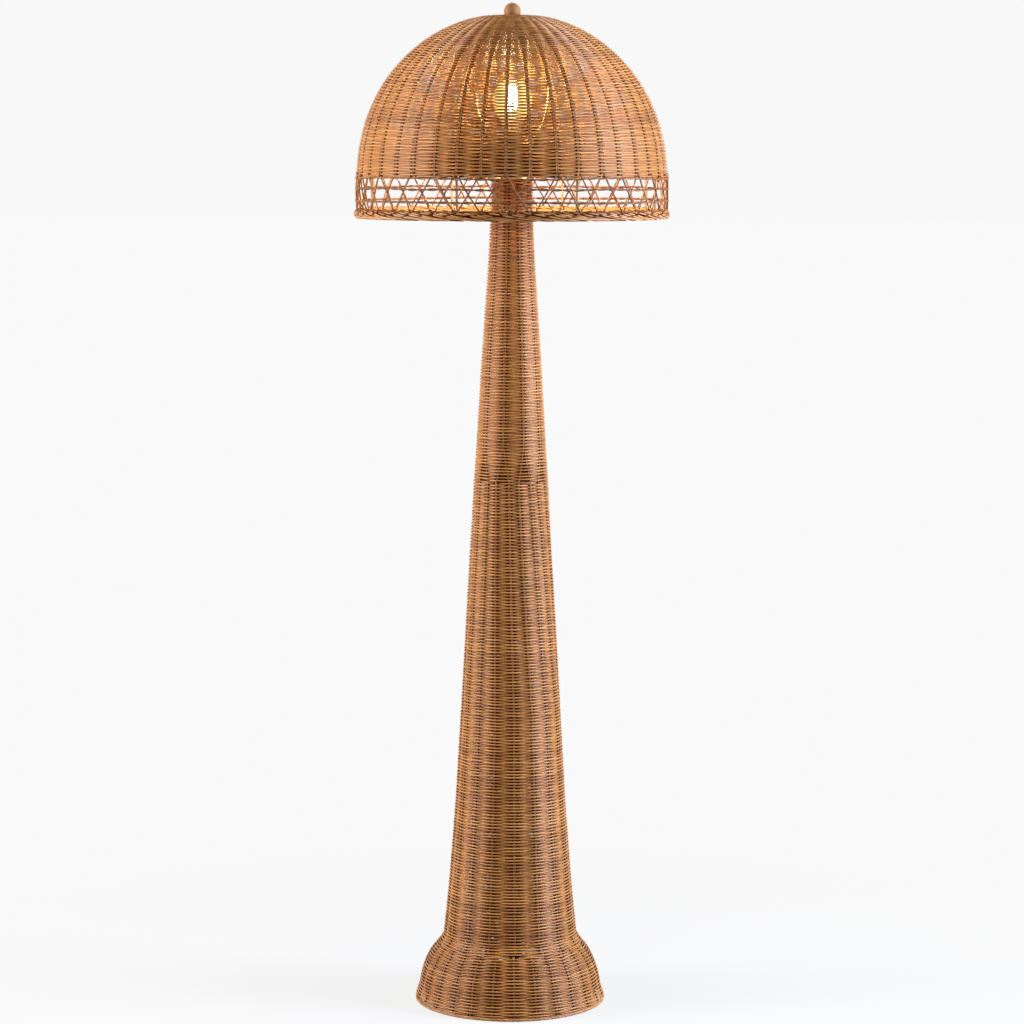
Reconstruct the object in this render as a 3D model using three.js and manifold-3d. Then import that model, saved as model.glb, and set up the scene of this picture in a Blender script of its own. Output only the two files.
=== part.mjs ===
// A rattan floor lamp of the mushroom kind: a tapering woven column on a flared woven foot,
// and a woven dome shade that hangs on a harp over the bulb and is held down by a finial.
// Millimetres, +Z up, the origin on the floor under the middle of the foot, the front at -Y.
import * as THREE from 'three';
import { mergeVertices } from 'three/addons/utils/BufferGeometryUtils.js';
import Module from 'manifold-3d';

const wasm = await Module();
wasm.setup();

// Driving dimensions: the clearance between pieces that touch, and the overrun of every cut
const touch = 0.3;
const overrun = 2;

// Foot: base pad, weight, woven flare and its braided border
const padThickness = 2;
const padMargin = 8;
const weightThickness = 20;
const weightEdge = 4;
const weightClearance = 0.5;
const recessRadius = 16;
const recessDepth = 10;
const footRadius = 146.5;
const footBraidRadius = 2.9;
const footBraidBulge = 0.4;
const footBraidLift = 0.4;
const footInset = 0.4;
const footHeight = 104;
const footStakes = 26;

// Column: the woven taper over its rods and spiders, and its lid
const columnHeight = 1262;
const columnBottomRadius = 103;
const columnTopRadius = 32.5;
const columnStakes = 16;
const columnRibFade = 806;
const columnWall = 5.5;
const ribDepth = 1.6;
const ribLimitShare = 0.05;
const rodRadius = 1.5;
const rodClearance = 0.8;
const rodCount = 4;
const spiderWire = 2.2;
const spokeShare = 0.8;
const spiderHubWall = 4;
const spiderHubHeight = 10;
const lowSpiderRise = 24;
const topSpiderDrop = 22;
const lidThickness = 3;
const lidMargin = 1.5;

// Pipe up the middle, with its nuts and washers
const pipeRadius = 5;
const pipeBore = 3.5;
const pipeClearance = 0.4;
const pipeIntoSocket = 6;
const nutAcross = 9;
const nutThickness = 5;
const washerRadius = 12;
const washerThickness = 1.5;

// Cord inlet at the back of the foot
const inletHeight = 40;
const inletRadius = 5;
const inletBore = 3.5;
const inletFlange = 8;
const inletFlangeThickness = 2;

// Harp: saddle, ferrules, wire and the stud that carries the shade
const saddleThickness = 2;
const saddleWidth = 12;
const saddleHalfSpan = 29;
const postHeight = 20;
const postShoulder = 10;
const postWidth = 7;
const harpHeight = 227;
const harpHalfWidth = 55;
const harpLeg = 24;
const harpWire = 2;
const harpCrown = 9;
const ferruleHeight = 16;
const ferruleWall = 1.2;
const ferruleClearance = 0.5;
const seatRadius = 7;
const seatThickness = 3.2;
const studRadius = 3.1;
const studLength = 12.5;

// Socket and its rotary switch
const shellRadius = 16.9;
const shellWall = 0.8;
const shellHeight = 52;
const capHeight = 15;
const capNeckShare = 0.7;
const capLipShare = 0.6;
const linerWall = 0.9;
const fitClearance = 0.4;
const insulatorHeight = 15;
const socketThreadDepth = 31;
const contactHeight = 2.4;
const contactRadius = 4;
const switchHeight = 7.5;
const switchShaftRadius = 2;
const switchShaftLength = 20;
const switchShaftDepth = 6;
const knobRadius = 6;
const knobTaperShare = 0.85;
const knobLength = 11;
const knobGrip = 8;

// Bulb
const bulbCapRadius = 13;
const bulbCapHeight = 25;
const bulbTipRadius = 4.8;
const bulbTipHeight = 2.4;
const bulbRadius = 30;
const bulbHeight = 82;
const bulbGlass = 1;
const bulbTipShare = 0.6;
const bulbStemRadius = 4;
const bulbStemShare = 0.37;
const filamentCount = 4;
const filamentCircle = 7;
const filamentRadius = 0.9;
const filamentWire = 0.5;
const filamentLead = 2.5;
const filamentTopShare = 0.92;

// Shade: dome, open lattice band, braided rim, wire frame and hub
const domeRadius = 235;
const domeRise = 248.5;
const domePower = 2.1;
const domeWall = 5;
const shadeStakes = 40;
const shadeTurn = THREE.MathUtils.degToRad(-2.3);
const hubRadius = 15.2;
const hubThickness = 3;
const hubBelowCrown = 5.5;
const topRingRadius = 60;
const frameWire = 2;
const frameClearance = 1.1;
const frameRibs = 8;
const frameTurn = THREE.MathUtils.degToRad(-20.5);
const spiderArms = 4;
const armShare = 0.7;
const bandHeight = 39.2;
const bandThickness = 2.4;
const bandStrand = 2.2;
const bandStrip = 3;
const rimBraidRadius = 4.8;
const rimBraidHalfHeight = 8;
const rimBraidTaperShare = 0.3;
const rimBraidBulge = 0.5;

// Finial
const finialRadius = 13;
const finialFlatShare = 0.72;
const insertWall = 0.9;
const insertHeight = 11.5;
const insertInset = 0.4;

// Outlines as shares of their own height and of the radius that they gain
const columnShares = [
  [0, 1], [0.07, 0.885], [0.18, 0.745], [0.34, 0.595],
  [0.55, 0.405], [0.76, 0.21], [0.87, 0.085], [0.93, 0.025], [1, 0],
];
const footShares = [
  [0, 1], [0.036, 0.985], [0.077, 0.93], [0.21, 0.86], [0.345, 0.805], [0.465, 0.735],
  [0.6, 0.6], [0.735, 0.43], [0.86, 0.19], [1, 0],
];
const harpShares = [[0.18, 0.68], [0.42, 1], [0.66, 0.92], [0.86, 0.48], [0.96, 0.02]];
const bulbShares = [
  [0, 0.44], [0.12, 0.48], [0.28, 0.66], [0.42, 0.88], [0.56, 0.99], [0.66, 1],
  [0.78, 0.9], [0.89, 0.67], [0.965, 0.37],
];

// Finishes: colour, roughness and metalness
const finishes = {
  rattan: { color: 0xa67c58, roughness: 0.75, metalness: 0 },
  braid: { color: 0x9a6f4c, roughness: 0.75, metalness: 0 },
  wood: { color: 0xd9a766, roughness: 0.5, metalness: 0 },
  brass: { color: 0xb9924f, roughness: 0.35, metalness: 1 },
  steel: { color: 0xa8a8a6, roughness: 0.4, metalness: 1 },
  iron: { color: 0x3b3a38, roughness: 0.7, metalness: 1 },
  plastic: { color: 0x26221f, roughness: 0.5, metalness: 0 },
  card: { color: 0xb59d7c, roughness: 0.9, metalness: 0 },
  pad: { color: 0x2c2a28, roughness: 0.95, metalness: 0 },
  glass: { color: 0xfff3dc, roughness: 0.15, metalness: 0 },
};

const lamp = new THREE.Group();

function addPiece(name, geometry, finish) {
  const mesh = new THREE.Mesh(geometry, new THREE.MeshStandardMaterial(finishes[finish]));
  mesh.name = name;
  lamp.add(mesh);
  return mesh;
}

// Angles run from the front (-Y) towards +X
function aroundAxis(radius, angle, height) {
  return new THREE.Vector3(radius * Math.sin(angle), -radius * Math.cos(angle), height);
}

// A solid turned about Z from a closed outline of [radius, height] pairs
function turned(outline, segments) {
  let area = 0;
  outline.forEach(([r, z], i) => {
    const [nextR, nextZ] = outline[(i + 1) % outline.length];
    area += r * nextZ - nextR * z;
  });
  const points = (area > 0 ? outline : [...outline].reverse()).map(([r, z]) => new THREE.Vector2(r, z));
  const onAxis = points.findIndex((point, i) => {
    const next = points[(i + 1) % points.length];
    return point.x === 0 && next.x === 0;
  });
  const ordered = onAxis < 0
    ? [...points, points[0]]
    : [...points.slice(onAxis + 1), ...points.slice(0, onAxis + 1)];
  const geometry = new THREE.LatheGeometry(ordered, segments);
  return welded(geometry.rotateX(Math.PI / 2));
}

function welded(geometry) {
  const bare = geometry.index ? geometry.toNonIndexed() : geometry.clone();
  bare.deleteAttribute('normal');
  bare.deleteAttribute('uv');
  const merged = mergeVertices(bare);
  const source = merged.index.array;
  const kept = [];
  for (let i = 0; i < source.length; i += 3) {
    const [a, b, c] = [source[i], source[i + 1], source[i + 2]];
    if (a !== b && b !== c && c !== a) kept.push(a, b, c);
  }
  merged.setIndex(kept);
  return merged;
}

function toSolid(geometry) {
  const merged = welded(geometry);
  return new wasm.Manifold(new wasm.Mesh({
    numProp: 3,
    vertProperties: new Float32Array(merged.attributes.position.array),
    triVerts: new Uint32Array(merged.index.array),
  }));
}

function toGeometry(solid) {
  const mesh = solid.getMesh();
  const geometry = new THREE.BufferGeometry();
  geometry.setAttribute('position', new THREE.BufferAttribute(new Float32Array(mesh.vertProperties), 3));
  geometry.setIndex(new THREE.BufferAttribute(new Uint32Array(mesh.triVerts), 1));
  return geometry;
}

function joined(...geometries) {
  return toGeometry(geometries.map(toSolid).reduce((whole, solid) => whole.add(solid)));
}

function cut(geometry, ...tools) {
  return toGeometry(tools.map(toSolid).reduce((whole, solid) => whole.subtract(solid), toSolid(geometry)));
}

function ringOutline(inner, outer, bottom, top) {
  return [[inner, bottom], [outer, bottom], [outer, top], [inner, top]];
}

function circleShape(radius, sides) {
  const points = Array.from({ length: sides }, (_, i) => {
    const angle = 2 * Math.PI * i / sides;
    return new THREE.Vector2(radius * Math.cos(angle), radius * Math.sin(angle));
  });
  return new THREE.Shape(points);
}

function wireAlong(points, radius, sides, steps) {
  const path = points.length > 2 ? new THREE.CatmullRomCurve3(points) : new THREE.LineCurve3(...points);
  return new THREE.ExtrudeGeometry(circleShape(radius, sides), { steps, extrudePath: path });
}

// A round bar along -Y or +Y from y0 to y1 at a height
function barAlongY(radius, y0, y1, height, sides) {
  const bar = new THREE.CylinderGeometry(radius, radius, Math.abs(y1 - y0), sides);
  return bar.translate(0, (y0 + y1) / 2, height);
}

function hexNut(bottom) {
  const hexagon = circleShape(nutAcross, 6);
  hexagon.holes.push(circleShape(pipeRadius + pipeClearance, 12));
  const nut = new THREE.ExtrudeGeometry(hexagon, { depth: nutThickness, bevelEnabled: false });
  return nut.translate(0, 0, bottom);
}

function washer(bottom) {
  const outline = ringOutline(pipeRadius + pipeClearance, washerRadius, bottom, bottom + washerThickness);
  return turned(outline, 16);
}

// Pushes the outside of a turned shell in and out, so that a rib stands midway between stakes
function ribbed(geometry, isOutside, countAt, turn) {
  const position = geometry.attributes.position;
  const point = new THREE.Vector3();
  for (let i = 0; i < position.count; i += 1) {
    point.fromBufferAttribute(position, i);
    const radius = Math.hypot(point.x, point.y);
    if (!isOutside(radius, point.z)) continue;
    const angle = Math.atan2(point.x, -point.y) - turn;
    const depth = Math.min(ribDepth, radius * ribLimitShare);
    const grown = 1 - depth * (1 + Math.cos(countAt(point.z) * angle)) / 2 / radius;
    position.setXY(i, point.x * grown, point.y * grown);
  }
  return geometry;
}

// A border rolled from slanting strands: a ring whose section swells where a strand comes over, as
// wide and as high as its half sizes and narrower towards its top by the taper
const braidSides = 6;
function braidedRing({ outerRadius, halfWidth, halfHeight, taperShare, bulge, strands, turn }) {
  const majorRadius = outerRadius - halfWidth;
  const ring = new THREE.TorusGeometry(majorRadius, halfWidth, braidSides, strands * 2);
  const position = ring.attributes.position;
  const widest = halfWidth / Math.cos(Math.PI / braidSides);
  const point = new THREE.Vector3();
  for (let i = 0; i < position.count; i += 1) {
    point.fromBufferAttribute(position, i);
    const angle = Math.atan2(point.x, -point.y) - turn;
    const flat = Math.hypot(point.x, point.y);
    const around = Math.atan2(point.z, flat - majorRadius) + Math.PI / braidSides;
    const swell = 1 - bulge * (1 + Math.cos(strands * angle + around)) / 2 / halfWidth;
    const out = widest * Math.cos(around) * swell * (1 - taperShare * Math.sin(around));
    const grown = (majorRadius + out) / flat;
    position.setXYZ(i, point.x * grown, point.y * grown, halfHeight * Math.sin(around) * swell);
  }
  return ring.rotateZ(turn);
}

// Heights of the foot, from the floor up
const weightBottom = padThickness + touch;
const weightTop = weightBottom + weightThickness;
const footBraidCentre = footBraidLift + footBraidRadius;
const footWeaveBottom = footBraidCentre + footBraidRadius + touch;
const footWeaveTop = footHeight - touch / 2;
const columnWeaveBottom = footHeight + touch / 2;

function footOutline(offset) {
  const lower = footRadius - footInset;
  return footShares.map(([rise, flare]) => [
    columnBottomRadius + (lower - columnBottomRadius) * flare - offset,
    footWeaveBottom + (footWeaveTop - footWeaveBottom) * rise,
  ]);
}

function columnOutline(offset) {
  return columnShares.map(([rise, gain]) => [
    columnTopRadius + (columnBottomRadius - columnTopRadius) * gain - offset,
    columnWeaveBottom + (columnHeight - columnWeaveBottom) * rise,
  ]);
}

function radiusAt(outline, height) {
  const above = Math.max(1, outline.findIndex(([, z]) => z >= height));
  const [r0, z0] = outline[above - 1];
  const [r1, z1] = outline[above];
  return r0 + (r1 - r0) * (height - z0) / (z1 - z0);
}

const columnInside = columnOutline(columnWall);
const footInside = footOutline(columnWall);

// Base pad and cast weight, with the recess that takes the lower nut
const weightRadius = radiusAt(footInside, weightTop) - weightClearance;
const recessCeiling = weightBottom + recessDepth;
addPiece('base_pad', turned([[0, 0], [weightRadius - padMargin, 0], [weightRadius - padMargin, padThickness],
  [0, padThickness]], 32), 'pad');
addPiece('base_weight', turned([
  [recessRadius, weightBottom],
  [weightRadius - weightEdge, weightBottom],
  [weightRadius - weightEdge, weightTop - weightEdge],
  [weightRadius, weightTop - weightEdge],
  [weightRadius, weightTop],
  [pipeRadius + pipeClearance, weightTop],
  [pipeRadius + pipeClearance, recessCeiling],
  [recessRadius, recessCeiling],
], 32), 'iron');

// Everything that is stacked on the pipe above the weight and above the column's lid
const lidBottom = columnHeight + touch;
const lidTop = lidBottom + lidThickness;
const saddleBottom = lidTop + washerThickness + 2 * touch;
const saddleTop = saddleBottom + saddleThickness;
const neckNutBottom = saddleTop + touch;
const socketBottom = neckNutBottom + nutThickness + touch;
const lowerNutBottom = recessCeiling - touch - nutThickness;
const pipeBottom = lowerNutBottom - touch;
addPiece('lower_nut', hexNut(lowerNutBottom), 'steel');
addPiece('base_washer', washer(weightTop + touch), 'steel');
addPiece('base_nut', hexNut(weightTop + washerThickness + 2 * touch), 'steel');
const pipeTop = socketBottom + pipeIntoSocket;
addPiece('centre_pipe', turned(ringOutline(pipeBore, pipeRadius, pipeBottom, pipeTop), 16), 'steel');
addPiece('neck_washer', washer(lidTop + touch), 'brass');
addPiece('neck_nut', hexNut(neckNutBottom), 'brass');

// Woven flare of the foot, with the hole for the cord inlet, and its border on the floor
const inletY = radiusAt(footOutline(0), inletHeight - inletFlange) - ribDepth;
function footWeave() {
  const outside = footOutline(0);
  // The wall's inner side takes every other point of the outline or so
  const inside = [9, 7, 5, 2, 0].map((i) => footInside[i]);
  const shell = turned([...outside, ...inside], footStakes * 2);
  const middle = footRadius - footInset - columnWall;
  const isOutside = (radius, z) => radius > radiusAt(footOutline(columnWall / 2), z) || radius > middle;
  return ribbed(shell, isOutside, () => footStakes, 0);
}
const inletHole = barAlongY(inletRadius + touch, inletY - columnWall * 2, inletY + overrun, inletHeight, 10);
addPiece('foot_weave', cut(footWeave(), inletHole), 'rattan');
const footBraid = braidedRing({
  outerRadius: footRadius,
  halfWidth: footBraidRadius,
  halfHeight: footBraidRadius,
  taperShare: 0,
  bulge: footBraidBulge,
  strands: footStakes,
  turn: 0,
});
addPiece('foot_braid', footBraid.translate(0, 0, footBraidCentre), 'braid');

// Cord inlet: a flanged bush through the weave
const bush = turned([
  [inletBore, -columnWall - overrun],
  [inletRadius, -columnWall - overrun],
  [inletRadius, touch],
  [inletFlange, touch],
  [inletFlange, touch + inletFlangeThickness],
  [inletBore, touch + inletFlangeThickness],
], 12);
addPiece('cord_inlet', bush.rotateX(-Math.PI / 2).translate(0, inletY, inletHeight), 'plastic');

// Woven taper of the column: ribs between sixteen stakes below, between every other one above
function columnWeave() {
  const inside = columnInside.filter((_, i) => i !== 1 && i !== 7).reverse();
  const shell = turned([...columnOutline(0), ...inside], columnStakes * 3);
  const between = columnOutline(columnWall / 2);
  const countAt = (z) => (z < columnRibFade ? columnStakes : columnStakes / 2);
  return ribbed(shell, (radius, z) => radius > radiusAt(between, z), countAt, 0);
}
addPiece('column_weave', columnWeave(), 'rattan');
addPiece('column_lid', turned(ringOutline(pipeRadius + pipeClearance, columnTopRadius - lidMargin, lidBottom,
  lidTop), 16), 'brass');

// A spider inside the column: a hub on the pipe, four spokes and a ring against the weave
function columnSpider(height) {
  const ringRadius = radiusAt(columnInside, height + spiderWire) - 2 * touch - spiderWire;
  const hubInner = pipeRadius + pipeClearance;
  const half = spiderHubHeight / 2;
  const hub = turned(ringOutline(hubInner, hubInner + spiderHubWall, height - half, height + half), 10);
  const ring = new THREE.TorusGeometry(ringRadius, spiderWire, 4, 24).translate(0, 0, height);
  const spokes = Array.from({ length: rodCount }, (_, i) => {
    const angle = 2 * Math.PI * i / rodCount;
    const ends = [hubInner + spiderHubWall / 2, ringRadius].map((r) => aroundAxis(r, angle, height));
    return wireAlong(ends, spiderWire * spokeShare, 5, 1);
  });
  return joined(hub, ring, ...spokes);
}
addPiece('low_spider', columnSpider(columnWeaveBottom + lowSpiderRise), 'steel');
addPiece('top_spider', columnSpider(columnHeight - topSpiderDrop), 'steel');

// Rods that stand on the weight, lean in with the column and end under its lid
const rodInset = 2 * spiderWire + 2 * touch + rodClearance + rodRadius;
for (let i = 0; i < rodCount; i += 1) {
  const angle = 2 * Math.PI * (i + 0.5) / rodCount;
  const points = columnOutline(columnWall + rodInset).map(([r, z]) => aroundAxis(r, angle, z));
  points[points.length - 1].z = columnHeight - touch;
  points.unshift(aroundAxis(radiusAt(columnInside, columnWeaveBottom) - rodInset, angle, weightTop + touch));
  addPiece(`column_rod_${i + 1}`, wireAlong(points, rodRadius, 5, 12), 'steel');
}

// Harp saddle: a flat bar with two upturned posts, each narrowed above a shoulder
function harpSaddle() {
  const outer = saddleHalfSpan + saddleThickness / 2;
  const inner = saddleHalfSpan - saddleThickness / 2;
  const postTop = saddleTop + postHeight;
  const side = new THREE.Shape([
    [-outer, saddleBottom], [outer, saddleBottom], [outer, postTop], [inner, postTop],
    [inner, saddleTop], [-inner, saddleTop], [-inner, postTop], [-outer, postTop],
  ].map(([x, z]) => new THREE.Vector2(x, z)));
  const bar = new THREE.ExtrudeGeometry(side, { depth: saddleWidth, bevelEnabled: false });
  bar.rotateX(Math.PI / 2).translate(0, saddleWidth / 2, 0);
  const hole = new THREE.CylinderGeometry(pipeRadius + pipeClearance, pipeRadius + pipeClearance,
    saddleThickness + overrun, 16);
  hole.rotateX(Math.PI / 2).translate(0, 0, (saddleBottom + saddleTop) / 2);
  const trims = [-1, 1].map((way) => {
    const trim = new THREE.BoxGeometry(2 * (outer + overrun), saddleWidth, postHeight);
    return trim.translate(0, way * (saddleWidth + postWidth) / 2, saddleTop + postShoulder + postHeight / 2);
  });
  return cut(bar, hole, ...trims);
}
addPiece('harp_saddle', harpSaddle(), 'brass');

// Harp wire: up from both posts, out round the bulb and together again under the stud
const harpFoot = saddleTop + postHeight + touch;
const harpTop = saddleBottom + harpHeight;
const crownHeight = harpTop - harpWire;
function harpPath(side) {
  const bowStart = harpFoot + harpLeg;
  const bow = harpShares.map(([rise, reach]) => new THREE.Vector3(
    side * (saddleHalfSpan + (harpHalfWidth - saddleHalfSpan) * reach), 0,
    bowStart + (crownHeight - bowStart) * rise));
  return [new THREE.Vector3(side * saddleHalfSpan, 0, harpFoot),
    new THREE.Vector3(side * saddleHalfSpan, 0, (harpFoot + bowStart) / 2),
    new THREE.Vector3(side * saddleHalfSpan, 0, bowStart), ...bow,
    new THREE.Vector3(side * harpCrown, 0, crownHeight)];
}
const harpPoints = [...harpPath(-1), new THREE.Vector3(0, 0, crownHeight), ...harpPath(1).reverse()];
addPiece('harp_wire', wireAlong(harpPoints, harpWire, 5, 36), 'brass');

const ferruleInner = Math.hypot(postWidth / 2, saddleThickness / 2) + ferruleClearance;
const ferruleOuter = ferruleInner + ferruleWall;
const ferruleBottom = saddleTop + postShoulder + touch;
['left', 'right'].forEach((side, i) => {
  const outline = ringOutline(ferruleInner, ferruleOuter, ferruleBottom, ferruleBottom + ferruleHeight);
  const ferrule = turned(outline, 12).translate((2 * i - 1) * saddleHalfSpan, 0, 0);
  addPiece(`ferrule_${side}`, ferrule, 'brass');
});

// Stud on top of the harp, its seat carrying the shade's hub
const seatBottom = harpTop + touch;
const seatTop = seatBottom + seatThickness;
addPiece('harp_stud', turned([[0, seatBottom], [seatRadius, seatBottom], [seatRadius, seatTop],
  [studRadius, seatTop], [studRadius, seatTop + studLength], [0, seatTop + studLength]], 14), 'brass');

// Socket: cap, shell, card liner, insulator, threaded shell and centre contact
const capRadius = shellRadius + touch + shellWall;
const shellBottom = socketBottom + capHeight / 3;
const shellTop = shellBottom + shellHeight;
const insulatorBottom = shellBottom + shellWall + touch + pipeIntoSocket / 2;
const insulatorTop = insulatorBottom + insulatorHeight;
const linerRadius = shellRadius - shellWall - fitClearance;
const insulatorRadius = linerRadius - linerWall - fitClearance;
const threadRadius = bulbCapRadius + fitClearance;
const switchAxis = insulatorBottom + switchHeight;
const switchHole = barAlongY(switchShaftRadius + fitClearance, -capRadius - overrun, -shellRadius / 3,
  switchAxis, 10);
addPiece('socket_cap', turned([
  [pipeRadius + pipeClearance, socketBottom],
  [capRadius * capNeckShare, socketBottom],
  [capRadius, shellBottom - shellWall],
  [capRadius, socketBottom + capHeight * capLipShare],
  [capRadius - shellWall, socketBottom + capHeight * capLipShare],
  [capRadius - shellWall, shellBottom - touch],
  [capRadius * capNeckShare, socketBottom + shellWall],
  [pipeRadius + pipeClearance, socketBottom + shellWall],
], 18), 'brass');
const shellTube = turned(ringOutline(shellRadius - shellWall, shellRadius, shellBottom, shellTop), 18);
addPiece('socket_shell', cut(shellTube, switchHole), 'brass');
addPiece('socket_liner', cut(turned(ringOutline(linerRadius - linerWall, linerRadius, insulatorBottom,
  shellTop - shellWall), 18), switchHole), 'card');
addPiece('socket_insulator', cut(turned([[0, insulatorBottom], [insulatorRadius, insulatorBottom],
  [insulatorRadius, insulatorTop], [0, insulatorTop]], 18), switchHole), 'plastic');
addPiece('socket_thread', turned(ringOutline(threadRadius, insulatorRadius, insulatorTop + touch,
  insulatorTop + touch + socketThreadDepth), 18), 'brass');
const contactBottom = insulatorTop + touch;
addPiece('socket_contact', turned([[0, contactBottom], [contactRadius, contactBottom],
  [contactRadius, contactBottom + contactHeight / 2], [0, contactBottom + contactHeight]], 10), 'brass');

// Rotary switch: a shaft into the insulator, and its knob
const shaftInner = -insulatorRadius + switchShaftDepth;
const shaftOuter = shaftInner - switchShaftLength;
const knobOuter = shaftOuter - (knobLength - knobGrip);
function switchKnob() {
  const body = new THREE.CylinderGeometry(knobRadius, knobRadius * knobTaperShare, knobLength, 12);
  body.translate(0, knobOuter + knobLength / 2, switchAxis);
  const boreEnd = knobOuter + knobLength + overrun;
  return cut(body, barAlongY(switchShaftRadius + touch, shaftOuter - touch, boreEnd, switchAxis, 8));
}
addPiece('switch_shaft', barAlongY(switchShaftRadius, shaftOuter, shaftInner, switchAxis, 8), 'brass');
addPiece('switch_knob', switchKnob(), 'plastic');

// Bulb: centre tip, threaded cap, glass envelope and the stem with its four upright filaments
const tipBottom = contactBottom + contactHeight + touch;
const bulbCapBottom = tipBottom + bulbTipHeight + touch;
const bulbCapTop = bulbCapBottom + bulbCapHeight;
const glassBottom = bulbCapTop + touch;
const capWall = bulbGlass;
addPiece('bulb_tip', turned([[0, tipBottom], [bulbTipRadius * bulbTipShare, tipBottom],
  [bulbTipRadius, tipBottom + bulbTipHeight], [0, tipBottom + bulbTipHeight]], 10), 'steel');
addPiece('bulb_cap', turned([
  [0, bulbCapBottom],
  [bulbTipRadius, bulbCapBottom],
  [bulbCapRadius, bulbCapBottom + bulbCapHeight / 4],
  [bulbCapRadius, bulbCapTop],
  [bulbCapRadius - capWall, bulbCapTop],
  [bulbCapRadius - capWall, bulbCapBottom + bulbCapHeight / 2],
  [0, bulbCapBottom + bulbCapHeight / 2],
], 16), 'brass');
function bulbEnvelope() {
  const outside = bulbShares.map(([rise, swell]) => [bulbRadius * swell, glassBottom + bulbHeight * rise]);
  const inside = bulbShares.map(([rise, swell]) => [bulbRadius * swell - bulbGlass,
    glassBottom + (bulbHeight - bulbGlass) * rise]).reverse();
  const top = glassBottom + bulbHeight;
  return turned([...outside, [0, top], [0, top - bulbGlass], ...inside], 14);
}
addPiece('bulb_glass', bulbEnvelope(), 'glass');
const stemBottom = bulbCapBottom + bulbCapHeight / 2 + touch;
const stemTop = glassBottom + bulbHeight * bulbStemShare;
addPiece('bulb_stem', turned([[0, stemBottom], [bulbStemRadius * 2, stemBottom],
  [bulbStemRadius, (2 * stemBottom + stemTop) / 3], [bulbStemRadius, stemTop], [0, stemTop]], 10), 'glass');

// Filaments: coated sticks between a cross of wire on the stem and a ring of wire above
function filamentCage() {
  const low = stemTop + touch + filamentWire;
  const high = glassBottom + bulbHeight * filamentTopShare;
  const ring = new THREE.TorusGeometry(filamentCircle, filamentWire, 4, 12).translate(0, 0, high);
  const sticks = Array.from({ length: filamentCount }, (_, i) => {
    const foot = aroundAxis(filamentCircle, 2 * Math.PI * i / filamentCount, 0);
    const stick = turned([[0, low], [filamentWire, low], [filamentRadius, low + filamentLead],
      [filamentRadius, high - filamentLead], [filamentWire, high], [0, high]], 6);
    const lead = wireAlong([new THREE.Vector3(0, 0, low), foot.clone().setZ(low)], filamentWire, 4, 1);
    return joined(stick.translate(foot.x, foot.y, 0), lead);
  });
  return joined(ring, ...sticks);
}
addPiece('bulb_filament', filamentCage(), 'steel');

// Shade, hung from the seat on the stud: hub height first, then the dome down to the rim
const hubBottom = seatTop + touch;
const hubTop = hubBottom + hubThickness;
const crown = hubTop + hubBelowCrown;
const domeBase = crown - domeRise;
const bandTop = domeBase - touch;
const bandBottom = bandTop - bandHeight;
const rimCentre = bandBottom - touch - rimBraidHalfHeight;
const bandRadius = domeRadius - bandThickness / 2 - touch;

// Radius and height on the dome at an angle up from its base, drawn in by an offset
function domePoint(angle, offset) {
  const power = 2 / domePower;
  const height = domeBase + (domeRise - offset) * Math.sin(angle) ** power;
  return [(domeRadius - offset) * Math.cos(angle) ** power, height];
}
function domeAngleAt(radius, offset) {
  return Math.acos((radius / (domeRadius - offset)) ** (domePower / 2));
}
function domeArc(offset, innerRadius, steps) {
  const last = domeAngleAt(innerRadius, offset);
  return Array.from({ length: steps + 1 }, (_, i) => domePoint(last * i / steps, offset));
}
function domeWeave() {
  const hole = hubRadius + touch;
  const shell = turned([...domeArc(0, hole, 9), ...domeArc(domeWall, hole, 8).reverse()], shadeStakes * 2);
  const isOutside = (radius, z) => {
    const power = (radius / (domeRadius - domeWall / 2)) ** domePower
      + ((z - domeBase) / (domeRise - domeWall / 2)) ** domePower;
    return power > 1;
  };
  return ribbed(shell, isOutside, () => shadeStakes, shadeTurn);
}
addPiece('dome_weave', domeWeave(), 'rattan');

// Open band: every stake splits into two strands that lean apart, cross the neighbours' half-way
// down and meet again one stake on. Corner points are [stakes along, height] on the band.
function bandLattice() {
  const step = 2 * Math.PI / shadeStakes;
  const upper = bandTop - bandStrip;
  const lower = bandBottom + bandStrip;
  const middle = (upper + lower) / 2;
  const lean = Math.atan2(bandRadius * step / 2, middle - lower);
  const wide = bandStrand / 2 / Math.cos(lean) / bandRadius / step;
  const tall = bandStrand / 2 / Math.sin(lean);
  const faces = [];
  for (let i = 0; i < shadeStakes; i += 1) {
    const half = i + 0.5;
    const cross = [
      [half - wide, middle], [half, middle - tall], [half + wide, middle], [half, middle + tall],
    ];
    faces.push(cross);
    [[upper, bandTop, cross[3]], [lower, bandBottom, cross[1]]].forEach(([edge, end, tip]) => {
      const inner = [[i + 1 - 2 * wide, edge], [i + 2 * wide, edge]];
      const left = [[i, edge], inner[1], tip, cross[0]];
      const right = [inner[0], [i + 1, edge], cross[2], tip];
      const strip = [[i, edge], [i, end], [i + 1, end], [i + 1, edge], ...inner];
      const added = [left, right, strip];
      faces.push(...(end > edge ? added.map((face) => [...face].reverse()) : added));
    });
  }
  return plateFromFaces(faces, step);
}

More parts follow.
